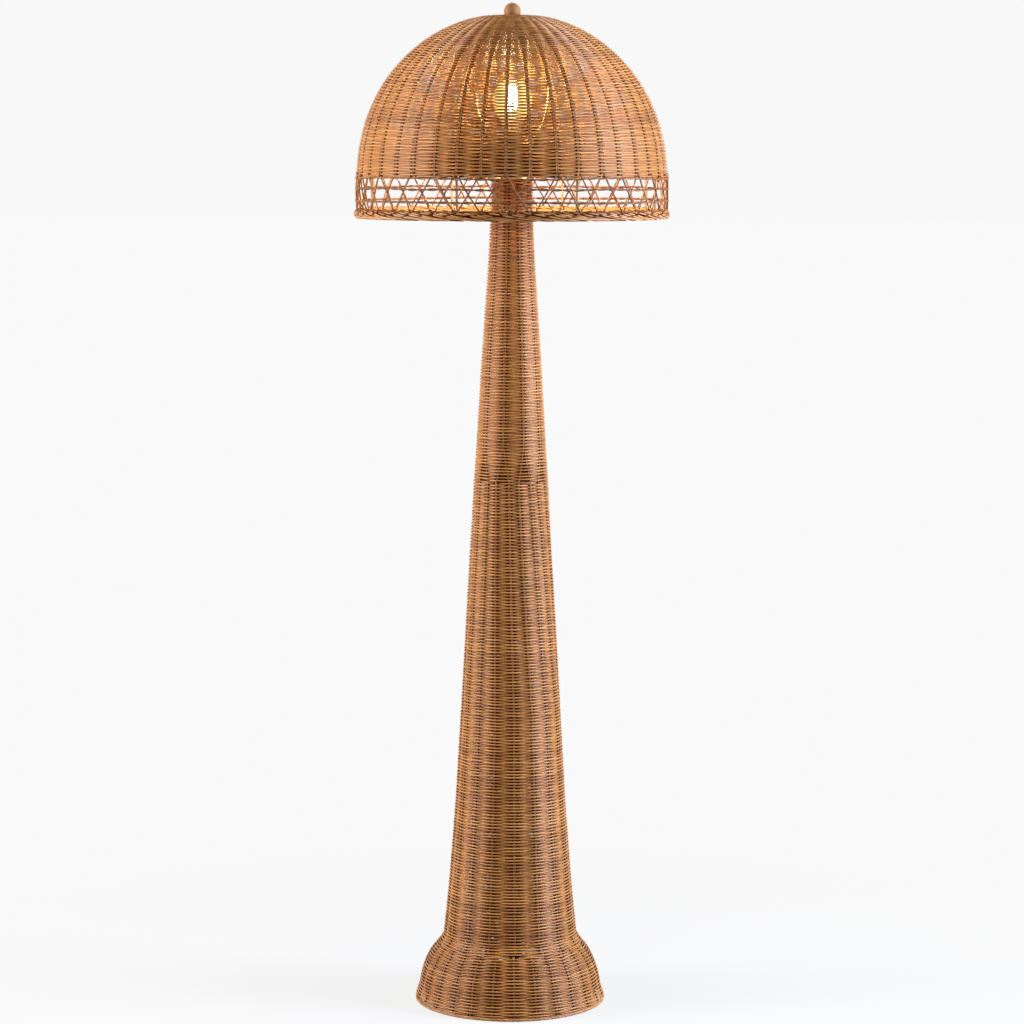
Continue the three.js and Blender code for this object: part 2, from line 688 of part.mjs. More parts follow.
// Gives flat faces on a cylinder their thickness, and walls along every open edge
function plateFromFaces(faces, step) {
  const keyOf = ([along, height]) => {
    const round = along % shadeStakes;
    return `${Math.round(round * 1e5)},${Math.round(height * 1e4)}`;
  };
  const edges = new Map();
  faces.forEach((face) => face.forEach((corner, k) => {
    const next = face[(k + 1) % face.length];
    edges.set(`${keyOf(corner)} ${keyOf(next)}`, [corner, next]);
  }));
  const vertices = [];
  const corner3 = ([along, height], radius) => (
    aroundAxis(radius, along * step + shadeTurn, height).toArray()
  );
  const outer = bandRadius + bandThickness / 2;
  const inner = bandRadius - bandThickness / 2;
  const addQuad = (a, b, c, d) => vertices.push(...a, ...b, ...c, ...a, ...c, ...d);
  faces.forEach((face) => {
    const flat = face.map(([along, height]) => new THREE.Vector2(along * step * bandRadius, height));
    const facesUp = !THREE.ShapeUtils.isClockWise(flat);
    THREE.ShapeUtils.triangulateShape(flat, []).forEach((triangle) => {
      const corners = triangle.map((k) => face[k]);
      const turnedOut = THREE.ShapeUtils.isClockWise(triangle.map((k) => flat[k])) === facesUp;
      if (turnedOut) corners.reverse();
      vertices.push(...corners.flatMap((corner) => corner3(corner, outer)));
      vertices.push(...corners.reverse().flatMap((corner) => corner3(corner, inner)));
    });
  });
  edges.forEach(([from, to]) => {
    if (edges.has(`${keyOf(to)} ${keyOf(from)}`)) return;
    addQuad(corner3(from, outer), corner3(from, inner), corner3(to, inner), corner3(to, outer));
  });
  const geometry = new THREE.BufferGeometry();
  geometry.setAttribute('position', new THREE.Float32BufferAttribute(vertices, 3));
  return welded(geometry);
}
addPiece('rim_lattice', bandLattice(), 'rattan');
const rimBraid = braidedRing({
  outerRadius: bandRadius + rimBraidRadius,
  halfWidth: rimBraidRadius,
  halfHeight: rimBraidHalfHeight,
  taperShare: rimBraidTaperShare,
  bulge: rimBraidBulge,
  strands: shadeStakes,
  turn: shadeTurn,
});
addPiece('rim_braid', rimBraid.translate(0, 0, rimCentre), 'braid');

// Wire frame inside the shade: a rim ring against the braid, ribs up the dome and a top ring
const frameInset = domeWall + frameClearance + frameWire;
const frameRadius = domeRadius - frameInset;
const rimRingRadius = bandRadius - rimBraidRadius - touch - frameWire;
const rimRing = new THREE.TorusGeometry(rimRingRadius, frameWire, 4, 48);
addPiece('rim_ring', rimRing.translate(0, 0, rimCentre), 'steel');
const topRing = domePoint(domeAngleAt(topRingRadius, frameInset), frameInset);
for (let i = 0; i < frameRibs; i += 1) {
  const angle = frameTurn + 2 * Math.PI * i / frameRibs;
  const start = domeAngleAt(topRingRadius + 2 * frameWire + touch, frameInset);
  const points = Array.from({ length: 7 }, (_, k) => {
    const [r, z] = domePoint(start * (1 - k / 6), frameInset);
    return aroundAxis(r, angle, z);
  });
  points.push(aroundAxis(rimRingRadius, angle, rimCentre + frameWire + touch));
  addPiece(`shade_rib_${i + 1}`, wireAlong(points, frameWire, 4, 8), 'steel');
}

// Hub on the stud, with arms out to the ring that the ribs reach
function shadeHub() {
  const hub = turned(ringOutline(studRadius + fitClearance, hubRadius, hubBottom, hubTop), 16);
  const ring = new THREE.TorusGeometry(topRing[0], frameWire, 5, 24).translate(0, 0, topRing[1]);
  const arms = Array.from({ length: spiderArms }, (_, i) => {
    const angle = frameTurn + 2 * Math.PI * i / spiderArms;
    return wireAlong([aroundAxis((studRadius + hubRadius) / 2, angle, (hubBottom + hubTop) / 2),
      aroundAxis(topRing[0], angle, topRing[1])], frameWire * armShare, 5, 1);
  });
  return joined(hub, ring, ...arms);
}
addPiece('shade_hub', shadeHub(), 'steel');

// Finial: a wooden ball with a flat seat, bored for the threaded insert
const finialBottom = hubTop + touch;
const insertInner = studRadius + fitClearance;
const insertOuter = insertInner + insertWall;
function finialBall() {
  const start = -Math.asin(finialFlatShare);
  const centre = finialBottom + finialRadius * finialFlatShare;
  const steps = 8;
  const skin = Array.from({ length: steps + 1 }, (_, i) => {
    const angle = start + (Math.PI / 2 - start) * i / steps;
    return [i === steps ? 0 : finialRadius * Math.cos(angle), centre + finialRadius * Math.sin(angle)];
  });
  const boreTop = finialBottom + insertInset + insertHeight + touch;
  const bore = [[0, boreTop], [insertOuter + touch, boreTop], [insertOuter + touch, finialBottom]];
  return turned([...skin, ...bore], 18);
}
addPiece('finial_ball', finialBall(), 'wood');
addPiece('finial_insert', turned(ringOutline(insertInner, insertOuter, finialBottom + insertInset,
  finialBottom + insertInset + insertHeight), 12), 'brass');

export default lamp;
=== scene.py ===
import math

import bmesh
import bpy
import numpy as np
from mathutils import Matrix, Vector


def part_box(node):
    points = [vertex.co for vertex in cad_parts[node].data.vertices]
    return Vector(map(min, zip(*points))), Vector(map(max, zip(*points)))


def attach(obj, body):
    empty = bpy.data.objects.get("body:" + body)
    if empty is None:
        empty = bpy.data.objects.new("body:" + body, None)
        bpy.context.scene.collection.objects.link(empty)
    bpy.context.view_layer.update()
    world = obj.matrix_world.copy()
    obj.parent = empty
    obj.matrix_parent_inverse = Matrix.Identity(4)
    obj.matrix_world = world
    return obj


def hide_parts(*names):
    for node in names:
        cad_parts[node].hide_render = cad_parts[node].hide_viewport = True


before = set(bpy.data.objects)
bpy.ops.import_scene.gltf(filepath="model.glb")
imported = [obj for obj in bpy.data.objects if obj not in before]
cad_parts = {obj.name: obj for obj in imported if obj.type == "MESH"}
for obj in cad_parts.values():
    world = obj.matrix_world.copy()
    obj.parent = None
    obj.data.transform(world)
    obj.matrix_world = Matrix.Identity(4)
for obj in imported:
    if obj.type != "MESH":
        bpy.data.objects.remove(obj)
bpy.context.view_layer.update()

# The camera stands 4.8 m in front of the lamp, at the height of a sitting person's eyes, and looks
# down a little. The picture is taken to be a square of 1024 pixels.
picture_pixels = 1024
focal_pixels = 3163
camera_distance = 4.788
camera_height = 1.302
camera_tilt = math.radians(6.493)
camera_roll = math.radians(-0.14)
camera_data = bpy.data.cameras.new("camera")
camera_data.sensor_width = 36
camera_data.lens = camera_data.sensor_width * focal_pixels / picture_pixels
camera_data.clip_end = 200


def new_object(name, data):
    """A new object at the origin of the scene"""
    made = bpy.data.objects.new(name, data)
    bpy.context.collection.objects.link(made)
    return made


camera = new_object("camera", camera_data)
camera.location = (0, -camera_distance, camera_height)
camera.rotation_euler = (math.pi / 2 - camera_tilt, camera_roll, 0)
bpy.context.scene.camera = camera
bpy.context.scene.view_settings.view_transform = "Standard"

# The room is plain white. What the eye sees behind the lamp, directly or mirrored in its metal, is
# the pale backdrop; what lights the lamp is a dimmer, even sky.
backdrop_white = (0.939, 0.939, 0.939, 1)
sky_light = (1, 0.98, 0.97, 1)
sky_strength = 0.05


def feed(node, *first, **named):
    """Set or link a node's inputs, by name or in order; a node feeds one from its first output"""
    for key, value in [*named.items(), *enumerate(first)]:
        socket = node.inputs[key if isinstance(key, int) else key.replace("_", " ")]
        if isinstance(value, bpy.types.Node):
            value = next(output for output in value.outputs if output.enabled)
        if isinstance(value, bpy.types.NodeSocket):
            node.id_data.links.new(value, socket)
        else:
            socket.default_value = value


def add_node(tree, kind, *first, **named):
    """A new shader node: its own settings come first, then its inputs"""
    node = tree.nodes.new("ShaderNode" + kind)
    for key in [key for key in named if hasattr(node, key)]:
        setattr(node, key, named.pop(key))
    feed(node, *first, **named)
    return node


def seen_directly(tree):
    """1 for rays that look at a surface or mirror it, 0 for rays that light it"""
    ray = add_node(tree, "LightPath").outputs
    seen = ray["Is Camera Ray"]
    for other in (ray["Is Glossy Ray"], ray["Is Transmission Ray"]):
        seen = add_node(tree, "Math", seen, other, operation="MAXIMUM")
    return seen


world = bpy.data.worlds.new("room")
bpy.context.scene.world = world
world.use_nodes = True
tree = world.node_tree
tree.nodes.clear()
sky = add_node(tree, "Background", Color=sky_light, Strength=sky_strength)
backdrop = add_node(tree, "Background", Color=backdrop_white, Strength=1)
mix = add_node(tree, "MixShader", seen_directly(tree), sky, backdrop)
add_node(tree, "OutputWorld", mix)

# The floor is the same pale white and runs on to the horizon. Round the lamp a share of it is matt
# paint, which takes the lamp's soft shadow.
floor_half = 60
floor_paint = (0.57, 0.57, 0.565, 1)
floor_bounce = (0.3, 0.3, 0.3, 1)
floor_white = (0.952, 0.952, 0.952, 1)
floor_shade_share = 0.16
floor_shade_reach = (0.2, 1.1)
mesh = bpy.data.meshes.new("floor")
bm = bmesh.new()
bmesh.ops.create_grid(bm, x_segments=1, y_segments=1, size=floor_half)
bm.to_mesh(mesh)
bm.free()
floor = new_object("floor", mesh)


def new_material(name):
    """A new material and its node tree"""
    material = bpy.data.materials.new(name)
    material.use_nodes = True
    return material, material.node_tree


material, tree = new_material("floor_white")
tree.nodes.clear()
direct = seen_directly(tree)
tint = add_node(tree, "Mix", direct, data_type="RGBA", A=floor_bounce, B=floor_paint)
paint = add_node(tree, "BsdfDiffuse", tint)
shine = add_node(tree, "Emission", Color=floor_white)
place = add_node(tree, "TexCoord").outputs["Object"]
distance = add_node(tree, "VectorMath", place, operation="LENGTH")
near = add_node(tree, "MapRange", distance, *floor_shade_reach, 1 - floor_shade_share, 1)
shown = add_node(tree, "Math", direct, near, operation="MULTIPLY")
blend = add_node(tree, "MixShader", shown, paint, shine)
add_node(tree, "OutputMaterial", blend)
mesh.materials.append(material)

# Two tall soft boxes stand left and right of the lamp, so that its sides are bright and its middle
# is darker, with a weaker one in front. The right one is the stronger and the cooler.
softbox_height = 1.0


def softbox(name, place, size, power, color):
    """A rectangular studio lamp that is aimed at the lamp's middle"""
    light = bpy.data.lights.new(name, "AREA")
    light.shape = "RECTANGLE"
    light.size, light.size_y = size
    light.energy = power
    light.color = color
    box = new_object(name, light)
    box.location = place
    aim = Vector((0, 0, softbox_height)) - box.location
    box.rotation_euler = aim.to_track_quat("-Z", "Y").to_euler()


softbox("softbox_left", (-2.7, -0.5, 1.6), (1.0, 2.0), 158, (1, 0.99, 1.0))
softbox("softbox_right", (2.7, -0.6, 1.6), (1.0, 2.0), 200, (0.96, 1.08, 1.38))
softbox("softbox_front", (-0.6, -3.2, 2.6), (1.4, 1.0), 5, (1, 0.86, 0.7))

# The column is woven like a basket: each row is one round reed of rattan that goes in front of a
# stake, which is a pair of thin upright reeds, and behind the next. The rows are beaten down until
# they touch. Eight stakes leave the top; lower down each pair parts into two stakes of its own.
row_pitch = 0.00234
row_reed = 0.00268
row_swing = 0.0018
row_bows = ((0.1, 1), (0.95, 0.6))
# row_shades, shade_middle and shade_reach set the painted shade in the rows' recessed halves: more low
# down on the column, most round the front and back of the lamp.
row_shades = ((0.75, 0.42), (1.15, 0.15))
shade_middle = math.radians(-5)
shade_reach = math.radians(24)
dip_reach = 0.0034
stake_reed = 0.0014
stake_gap = 0.0018
column_bottom = 0.104
column_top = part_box("column_weave")[1].z
column_top_radius = 0.0325
column_bottom_radius = 0.103
column_shares = [
    (0, 1), (0.07, 0.885), (0.18, 0.745), (0.34, 0.595),
    (0.55, 0.405), (0.76, 0.21), (0.87, 0.085), (0.93, 0.025), (1, 0),
]
stake_degrees = [-51.5, -14, 22, 59, 108, 158, 208, 258]
part_top = 0.875
part_bottom = 0.806
parted_degrees = 10.5
even_bottom = 0.45
even_turn_degrees = 4
# Inward faces of the column's and foot's reeds keep only this share of their light; the rest is painted
# shade.
column_inside_lit = 0.2
patch_scale = (45, 0, 13)
random = np.random.default_rng(20)


def toned(tree, source, tones):
    """The colour that a value stands for, blended between tones"""
    ramp = add_node(tree, "ValToRGB", source)
    elements = ramp.color_ramp.elements
    elements.remove(elements[1])
    for index, (position, color) in enumerate(tones):
        element = elements.new(position) if index else elements[0]
        element.position = position
        element.color = (*color, 1)
    return ramp


def rattan_material(name, tones, painted_shade=(0.05, 0.008, 0.0003), roughness=0.42, gleam=0.5):
    """Varnished cane: each reed has its own tone, patches and specks, and painted shade fills the
    recesses
    """
    material, tree = new_material(name)
    reed = add_node(tree, "Attribute", attribute_name="reed").outputs["Vector"]
    parts = add_node(tree, "SeparateXYZ", reed)
    stretch = add_node(tree, "VectorMath", reed, patch_scale, operation="MULTIPLY")
    patches = add_node(tree, "TexNoise", stretch, Scale=1, Detail=3, Roughness=0.62)
    place = add_node(tree, "TexCoord").outputs["Object"]
    specks = add_node(tree, "TexNoise", place, Scale=620, Detail=2, Roughness=0.6)
    clouds = add_node(tree, "TexNoise", place, Scale=9, Detail=2, Roughness=0.5)
    total = -0.03
    for source, weight in ((parts.outputs["Y"], 0.32), (patches, 0.38), (specks, 0.14), (clouds, 0.26)):
        total = add_node(tree, "Math", source, weight, total, operation="MULTIPLY_ADD")
    shown = add_node(tree, "Attribute", attribute_name="unshaded").outputs["Fac"]
    # Painted shade: where a reed's unshaded share is low, its colour turns to the shade colour and its
    # gloss fades too.
    coat = add_node(tree, "Mix", shown, data_type="RGBA", A=(*painted_shade, 1), B=toned(tree, total, tones))
    sheen = add_node(tree, "Math", shown, gleam, operation="MULTIPLY")
    gloss = add_node(tree, "MapRange", patches, To_Min=roughness - 0.1, To_Max=roughness + 0.14)
    bump = add_node(tree, "Bump", Strength=0.35, Distance=0.0002, Height=specks)
    feed(tree.nodes["Principled BSDF"], Base_Color=coat, Roughness=gloss, Specular_IOR_Level=sheen,
         Normal=bump, IOR=1.5)
    return material


rattan = rattan_material("rattan_varnished", [
    (0.2, (0.155, 0.047, 0.006)), (0.42, (0.29, 0.102, 0.015)),
    (0.6, (0.4, 0.157, 0.03)), (0.82, (0.5, 0.229, 0.064)),
])


line_step = 0.0005


def along_outline(outline, softening=0.0):
    """Radius, height and outward normal at every step along an outline, with its kinks rounded"""
    outline = np.array(outline)
    reach = np.concatenate([[0], np.cumsum(np.hypot(*np.diff(outline, axis=0).T))])
    fine = np.arange(0, reach[-1], line_step)
    line = np.column_stack([np.interp(fine, reach, outline[:, k]) for k in (0, 1)])
    width = int(softening / line_step)
    if width > 1:
        before = 2 * line[:1] - line[width:0:-1]
        after = 2 * line[-1:] - line[-2:-width - 2:-1]
        padded = np.vstack([before, line, after])
        window = np.ones(2 * width + 1) / (2 * width + 1)
        line = np.column_stack([np.convolve(padded[:, k], window, "valid") for k in (0, 1)])
    slope = np.gradient(line, axis=0)
    slope /= np.hypot(slope[:, 0], slope[:, 1])[:, None]
    return np.column_stack([line, slope[:, 1], -slope[:, 0]])


def on_circle(radius, angle, height):
    """Points round the lamp's axis; angles run from the front towards the right"""
    height = np.broadcast_to(height, angle.shape)
    return np.column_stack([radius * np.sin(angle), -radius * np.cos(angle), height])


def uneven(angles, size, waves=5):
    """A smooth, hand-made unevenness round a row"""
    total = np.zeros_like(angles)
    for wave in range(1, waves + 1):
        turns = wave * random.integers(1, 5)
        total += random.normal(0, 1) * np.cos(turns * angles + random.uniform(0, 6.3))
    return total * size / math.sqrt(waves)


wander_size = 0.00013
wander_waves = [(turns, random.uniform(20, 90), random.uniform(0, 6.3)) for turns in (1, 2, 3, 5, 6)]


def wander(angles, height, size):
    """A slow rise and fall along the wall, which neighbouring rows share"""
    waves = [np.sin(turns * angles + climb * height + phase) for turns, climb, phase in wander_waves]
    return size * sum(waves)


span_shares = np.array([0.07, 0.17, 0.32, 0.5, 0.68, 0.83, 0.93])
row_uneven = (0.00007, 0.00003)


def woven_row(spot, stakes, first_side, swing, bowed, shade):
    """One reed in front of every second stake: part of its swing is a bow, part a dip at the stake"""
    radius, height, out, up = spot
    start = stakes[:, 1]
    span = np.append(stakes[1:, 0], stakes[0, 0] + math.tau) - start
    angles = np.column_stack([stakes, start[:, None] + span[:, None] * span_shares]).ravel()
    away = np.minimum(span_shares, 1 - span_shares) * span[:, None] * radius / dip_reach
    dip = np.sign(0.5 - span_shares) * np.exp(-away ** 2)
    arc = np.broadcast_to(np.cos(math.pi * span_shares), dip.shape)
    side = first_side * np.where(np.arange(len(stakes)) % 2, -1, 1)[:, None]
    depth = (side * np.column_stack([np.ones_like(stakes), dip])).ravel()
    bow = (side * np.column_stack([np.ones_like(stakes), arc])).ravel()
    push = (bowed * bow + (1 - bowed) * depth) * swing * random.uniform(0.93, 1.07)
    push += uneven(angles, row_uneven[0])
    slide = wander(angles, height, wander_size) + uneven(angles, row_uneven[1])
    points = on_circle(radius + push * out - slide * up, angles, height + push * up + slide * out)
    # The painted shade is strongest round the front and back of the lamp and fades towards its sides.
    shade = shade / (1 + (np.sin(angles - shade_middle) / math.sin(shade_reach)) ** 6)
    return points, on_circle(out, angles, up), shade * bow + (1 - shade) * depth


def swept(name, curve):
    """The mesh of a curve with its round section"""
    holder = bpy.data.objects.new(name, curve)
    mesh = bpy.data.meshes.new_from_object(holder)
    bpy.data.objects.remove(holder)
    return mesh


reed_level = 1
# The reeds carry painted shade: each is darkened towards the shade colour along its edges where it meets
# its neighbours, and where it lies sunk in the wall; these numbers set how much.
facing_gain = 1.5
depth_gain = 1.3
open_from = 0.15
open_range = 0.7


def reed_piece(name, strands, thickness, material, closed, inside=1.0, girth=None):
    """Round reeds swept along strands: each is points, outward normal of its wall and depth of painted
    shade
    """
    curve = bpy.data.curves.new(name, "CURVE")
    curve.dimensions = "3D"
    curve.bevel_depth = thickness / 2
    curve.bevel_resolution = reed_level
    sides = 4 + 2 * reed_level
    facts = []
    for points, outward, depth in strands:
        if not closed:
            tips = points[[0, -1]] + (points[[0, -1]] - points[[1, -2]]) * 0.1
            points = np.vstack([tips[:1], points, tips[1:]])
            outward, depth = (np.concatenate([row[:1], row, row[-1:]]) for row in (outward, depth))
        spline = curve.splines.new("POLY")
        spline.points.add(len(points) - 1)
        spline.points.foreach_set("co", np.column_stack([points, np.ones(len(points))]).ravel())
        width = np.full(len(points), random.uniform(0.985, 1.015))
        if girth:
            width *= girth(points)
        if not closed:
            width[[0, -1]] = 0
        spline.points.foreach_set("radius", width)
        spline.use_cyclic_u = closed
        along = np.append(0, np.cumsum(np.linalg.norm(np.diff(points, axis=0), axis=1)))
        tone = np.full_like(along, random.uniform(0, 1))
        mark = np.full_like(along, random.uniform(0, 50))
        facts.append(np.column_stack([points, outward, depth, along, tone, mark]))
    mesh = swept(name, curve)
    facts = np.repeat(np.vstack(facts), sides, axis=0)
    centres, normals, depths, grain = np.split(facts, (3, 6, 7), axis=1)
    attribute = mesh.attributes.new("reed", "FLOAT_VECTOR", "POINT")
    attribute.data.foreach_set("vector", grain.ravel())
    place = np.empty(len(mesh.vertices) * 3)
    mesh.vertices.foreach_get("co", place)
    spread = place.reshape(-1, 3) - centres
    spread /= np.maximum(np.linalg.norm(spread, axis=1), 1e-6)[:, None]
    # The share of each vertex left unshaded: painted shade falls on the sides where reeds meet, on sunken
    # parts and, by the inside share, on inward faces.
    facing = (spread * normals).sum(axis=1)
    shown = np.minimum(facing_gain * np.abs(facing), 1)
    shown += np.sign(facing) * depth_gain * depths[:, 0]
    shown = np.clip((shown - open_from) / open_range, 0, 1) * np.where(facing < -0.1, inside, 1)
    attribute = mesh.attributes.new("unshaded", "FLOAT", "POINT")
    attribute.data.foreach_set("value", shown * shown * (3 - 2 * shown))
    mesh.shade_smooth()
    mesh.materials.append(material)
    return new_object(name, mesh)


def dress(piece, body, slot, *nodes):
    """A finished piece rides on its body and stands for its CAD nodes; its slot is not used"""
    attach(piece, body)
    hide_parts(*nodes)


def paired(angles, radius, gap=stake_gap):
    """The two upright reeds of every stake, side by side"""
    half = gap / 2 / radius
    return np.column_stack([angles - half, angles + half])


def column_stakes(height, radius):
    """Where the stakes stand at a height: eight pairs, then sixteen stakes that even out"""
    pairs = np.radians(stake_degrees)
    if height > part_top:
        return paired(pairs, radius)
    parted = math.radians(parted_degrees)
    if height > part_bottom:
        share = (part_top - height) / (part_top - part_bottom)
        half = max(stake_gap / 2 / radius, parted * share ** 1.4)
        return np.column_stack([pairs - half, pairs + half])
    single = np.column_stack([pairs - parted, pairs + parted]).ravel()
    even = np.radians(22.5 * np.arange(-3, 13) + even_turn_degrees)
    share = min(1, (part_bottom - height) / (part_bottom - even_bottom))
    return paired(single + (even - single) * share, radius)


half_wall = row_swing + row_reed / 2


def wall_line(top_radius, bottom_radius, top, bottom, shares, softening):
    """The middle of a woven wall, from its bottom up, by shares of its height and of its flare"""
    return along_outline([
        (top_radius + (bottom_radius - top_radius) * flare - half_wall, bottom + (top - bottom) * rise)
        for rise, flare in shares
    ], softening)


column_line = wall_line(column_top_radius, column_bottom_radius, column_top, column_bottom, column_shares,
                        softening=0.03)


def woven_rows(line, pitch, stakes_at, swing, bows, shades):
    """All rows of a wall, in equal steps from edge to edge; their bow and painted shade go by height"""
    count = round(len(line) * line_step / pitch)
    rows = []
    for row in range(count):
        spot = line[int((row + 0.5) * len(line) / count)]
        bowed, shade = (np.interp(spot[1], *zip(*steps)) for steps in (bows, shades))
        side = 1 if row % 2 else -1
        rows.append(woven_row(spot, stakes_at(spot[1], spot[0]), side, swing, bowed, shade))
    return rows


def tiered(name, rows, tiers, body, node, thickness, material, **finish):
    """The rows of a wall, shared out over a few pieces"""
    for tier in range(tiers):
        share = rows[len(rows) * tier // tiers:len(rows) * (tier + 1) // tiers]
        piece = reed_piece(f"{name}_{tier + 1}", share, thickness, material, closed=True, **finish)
        dress(piece, body, "rattan", node)


column_rows = woven_rows(column_line, row_pitch, column_stakes, row_swing, row_bows, row_shades)
tiered("column_rows", column_rows, 5, "base", "column_weave", row_reed, rattan, inside=column_inside_lit)
stake_backing = ((-0.00195, 0.0012), (-0.00065, 0.0009), (0.00065, 0.0009), (0.00195, 0.0012))
# The stakes are darkened a little as painted shade, and the four reeds behind each stake much more, so
# that the holes beside it look dark.
stake_shade = -0.1
backing_shade = -0.8


def stakes_piece(name, line, stakes_at, stride, thickness, material, **finish):
    """The upright reeds of a wall: the pair at each stake, and four reeds close behind it in painted
    shade
    """
    spots = line[::stride]
    grids = [stakes_at(spot[1], spot[0]) for spot in spots]
    lines = []
    start = 0
    while start < len(spots):
        count = len(grids[start])
        stop = start
        while stop < len(spots) and len(grids[stop]) == count:
            stop += 1
        end = min(stop + 1, len(spots))
        block = np.array(grids[start:stop] + grids[stop - 1:stop] * (end - stop))
        if stop - start > 1:
            radius, height, out, up = spots[start:end].T
            reeds = [(angles, 0, stake_shade) for angles in block.reshape(end - start, -1).T]
            reeds += [(middle + aside / radius, inward, backing_shade)
                      for middle in block.mean(axis=2).T for aside, inward in stake_backing]
            for angles, inward, depth in reeds:
                points = on_circle(radius - inward * out, angles, height - inward * up)
                lines.append((points, on_circle(out, angles, up), np.full(len(angles), depth)))
        start = stop
    return reed_piece(name, lines, thickness, material, closed=False, **finish)


piece = stakes_piece("column_stakes", column_line, column_stakes, 24, stake_reed, rattan,
                     inside=column_inside_lit)
dress(piece, "base", "rattan", "column_weave")

# The foot is woven on from the column in the same reed. It flares out over the weight, and after
# the first rows of the flare there are twenty-six stakes, so that its ribs stand as close as above.
foot_radius = 0.1465
foot_inset = 0.0004
foot_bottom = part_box("foot_weave")[0].z
foot_shares = [
    (0, 1), (0.036, 0.985), (0.077, 0.93), (0.21, 0.86), (0.345, 0.805), (0.465, 0.735),
    (0.6, 0.6), (0.735, 0.43), (0.86, 0.19), (1, 0),
]
foot_stake_count = 26
foot_stakes_top = 0.09


def foot_stakes(height, radius):
    """Sixteen stakes where the column comes down, twenty-six below"""
    if height > foot_stakes_top:
        return column_stakes(min(height, even_bottom), radius)
    return paired(math.tau * (np.arange(foot_stake_count) + 0.2) / foot_stake_count, radius)


foot_line = wall_line(column_bottom_radius, foot_radius - foot_inset, column_bottom, foot_bottom,
                      foot_shares, softening=0.008)
foot_rows = woven_rows(foot_line, row_pitch, foot_stakes, row_swing, row_bows[:1], row_shades[:1])
piece = reed_piece("foot_rows", foot_rows, row_reed, rattan, closed=True, inside=column_inside_lit)
dress(piece, "base", "rattan", "foot_weave")
piece = stakes_piece("foot_stakes", foot_line, foot_stakes, 12, stake_reed, rattan, inside=column_inside_lit)
dress(piece, "base", "rattan", "foot_weave")

# The foot's edge is the stakes' own ends, bent aside and rolled over one another into a border that
# the lamp seems to stand on.
low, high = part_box("foot_braid")
border_gap = 0.0002


def rolled_border(name, low, high, outer_radius, width, reed, strands, turn_length, material, recess_shade=0):
    """Strands that wind round and round each other in a ring, falling from left to right outside"""
    wide = (width - reed) / 2
    tall = (high - low - reed) / 2
    middle_radius = outer_radius - width / 2
    middle_height = (low + high) / 2
    turns = round(math.tau * middle_radius / turn_length)
    angles = np.linspace(0, math.tau, turns * 14, endpoint=False)
    rings = []
    for strand in range(strands):
        wind = -turns * angles + math.tau * strand / strands + uneven(angles, 0.16)
        reach = 1 + uneven(angles, 0.05)
        radius = middle_radius + reach * wide * np.cos(wind)
        points = on_circle(radius, angles, middle_height + reach * tall * np.sin(wind))
        outward = on_circle(np.cos(wind), angles, np.sin(wind))
        # In the rim's core the outer faces, under the strands laid over them, are darkened as painted
        # shade.
        rings.append((points, outward, -recess_shade * np.cos(wind)))
    return reed_piece(name, rings, reed, material, closed=True)


border_tan = rattan_material("rattan_border", [
    (0.2, (0.25, 0.09, 0.02)), (0.45, (0.41, 0.165, 0.043)),
    (0.65, (0.54, 0.24, 0.072)), (0.85, (0.66, 0.33, 0.12)),
])
piece = rolled_border("foot_border", low.z + border_gap, high.z, foot_radius - border_gap,
                      width=0.0058, reed=0.0026, strands=5, turn_length=0.03, material=border_tan)
dress(piece, "base", "braid", "foot_braid")

# The dome is woven in thicker reed on forty stakes, so tightly that only small gaps are left beside
# them, through which the bulb shines. In front of the bulb the reed is thinner, which leaves bright
# lines between the rows, and at the back it is thicker.
dome_radius = 0.235
dome_rise = 0.2485
dome_power = 2.1
dome_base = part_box("dome_weave")[0].z
dome_hole = 0.0165
dome_pitch = 0.00249
dome_reed = 0.00275
dome_swing = 0.0017
dome_bows = ((1.3, 0.8),)
# How much painted shade fills the dome's recessed rows, less towards the crown.
dome_shades = ((1.3, 0.8), (1.42, 0.3))
dome_edge = 0.007
shade_rattan = rattan_material("rattan_shade", [
    (0.2, (0.161, 0.05, 0.0067)), (0.42, (0.3, 0.109, 0.017)),
    (0.6, (0.416, 0.167, 0.033)), (0.82, (0.52, 0.243, 0.068)),
])
loose_share = 0.29
loose_middle = (0, -0.2, 1.375)
loose_reach = (0.1, 0.16, 0.062)
back_tight = 0.12
dome_stake_reed = 0.0014
dome_stake_gap = 0.0023
dome_stake_count = 40
dome_turn = math.radians(-2.3)
crown_radius = 0.062
crown_lifts = ((0.018, -0.0005), (0.053, 0.0021), (0.111, 0.0012), (0.16, 0))


def dome_curve(angle, inset):
    """Radius and height of the dome's wall, or of a line inside it, from the edge to the crown"""
    return ((dome_radius - inset) * np.cos(angle) ** (2 / dome_power),
            dome_base + (dome_rise - inset) * np.sin(angle) ** (2 / dome_power))


def dome_angle(radius, inset):
    """The angle at which the curve comes in to a radius"""
    return math.acos((radius / (dome_radius - inset)) ** (dome_power / 2))


dome_inset = dome_swing + dome_reed / 2
radius, height = dome_curve(np.linspace(0, dome_angle(dome_hole, dome_inset), 60), dome_inset)
height += np.interp(radius, *zip(*crown_lifts))
stake_wander = random.normal(0, 0.006, dome_stake_count)


def dome_stakes(height, radius):
    """Forty stakes, of which every second one ends near the crown"""
    angles = dome_turn + math.tau * np.arange(dome_stake_count) / dome_stake_count + stake_wander
    if radius < crown_radius:
        angles = angles[::2]
    return paired(angles, radius, gap=dome_stake_gap)


dome_line = along_outline(np.column_stack([radius, height]), softening=0.012)
dome_line = dome_line[dome_line[:, 1] > dome_base + dome_edge]
dome_rows = woven_rows(dome_line, dome_pitch, dome_stakes, dome_swing, dome_bows, dome_shades)


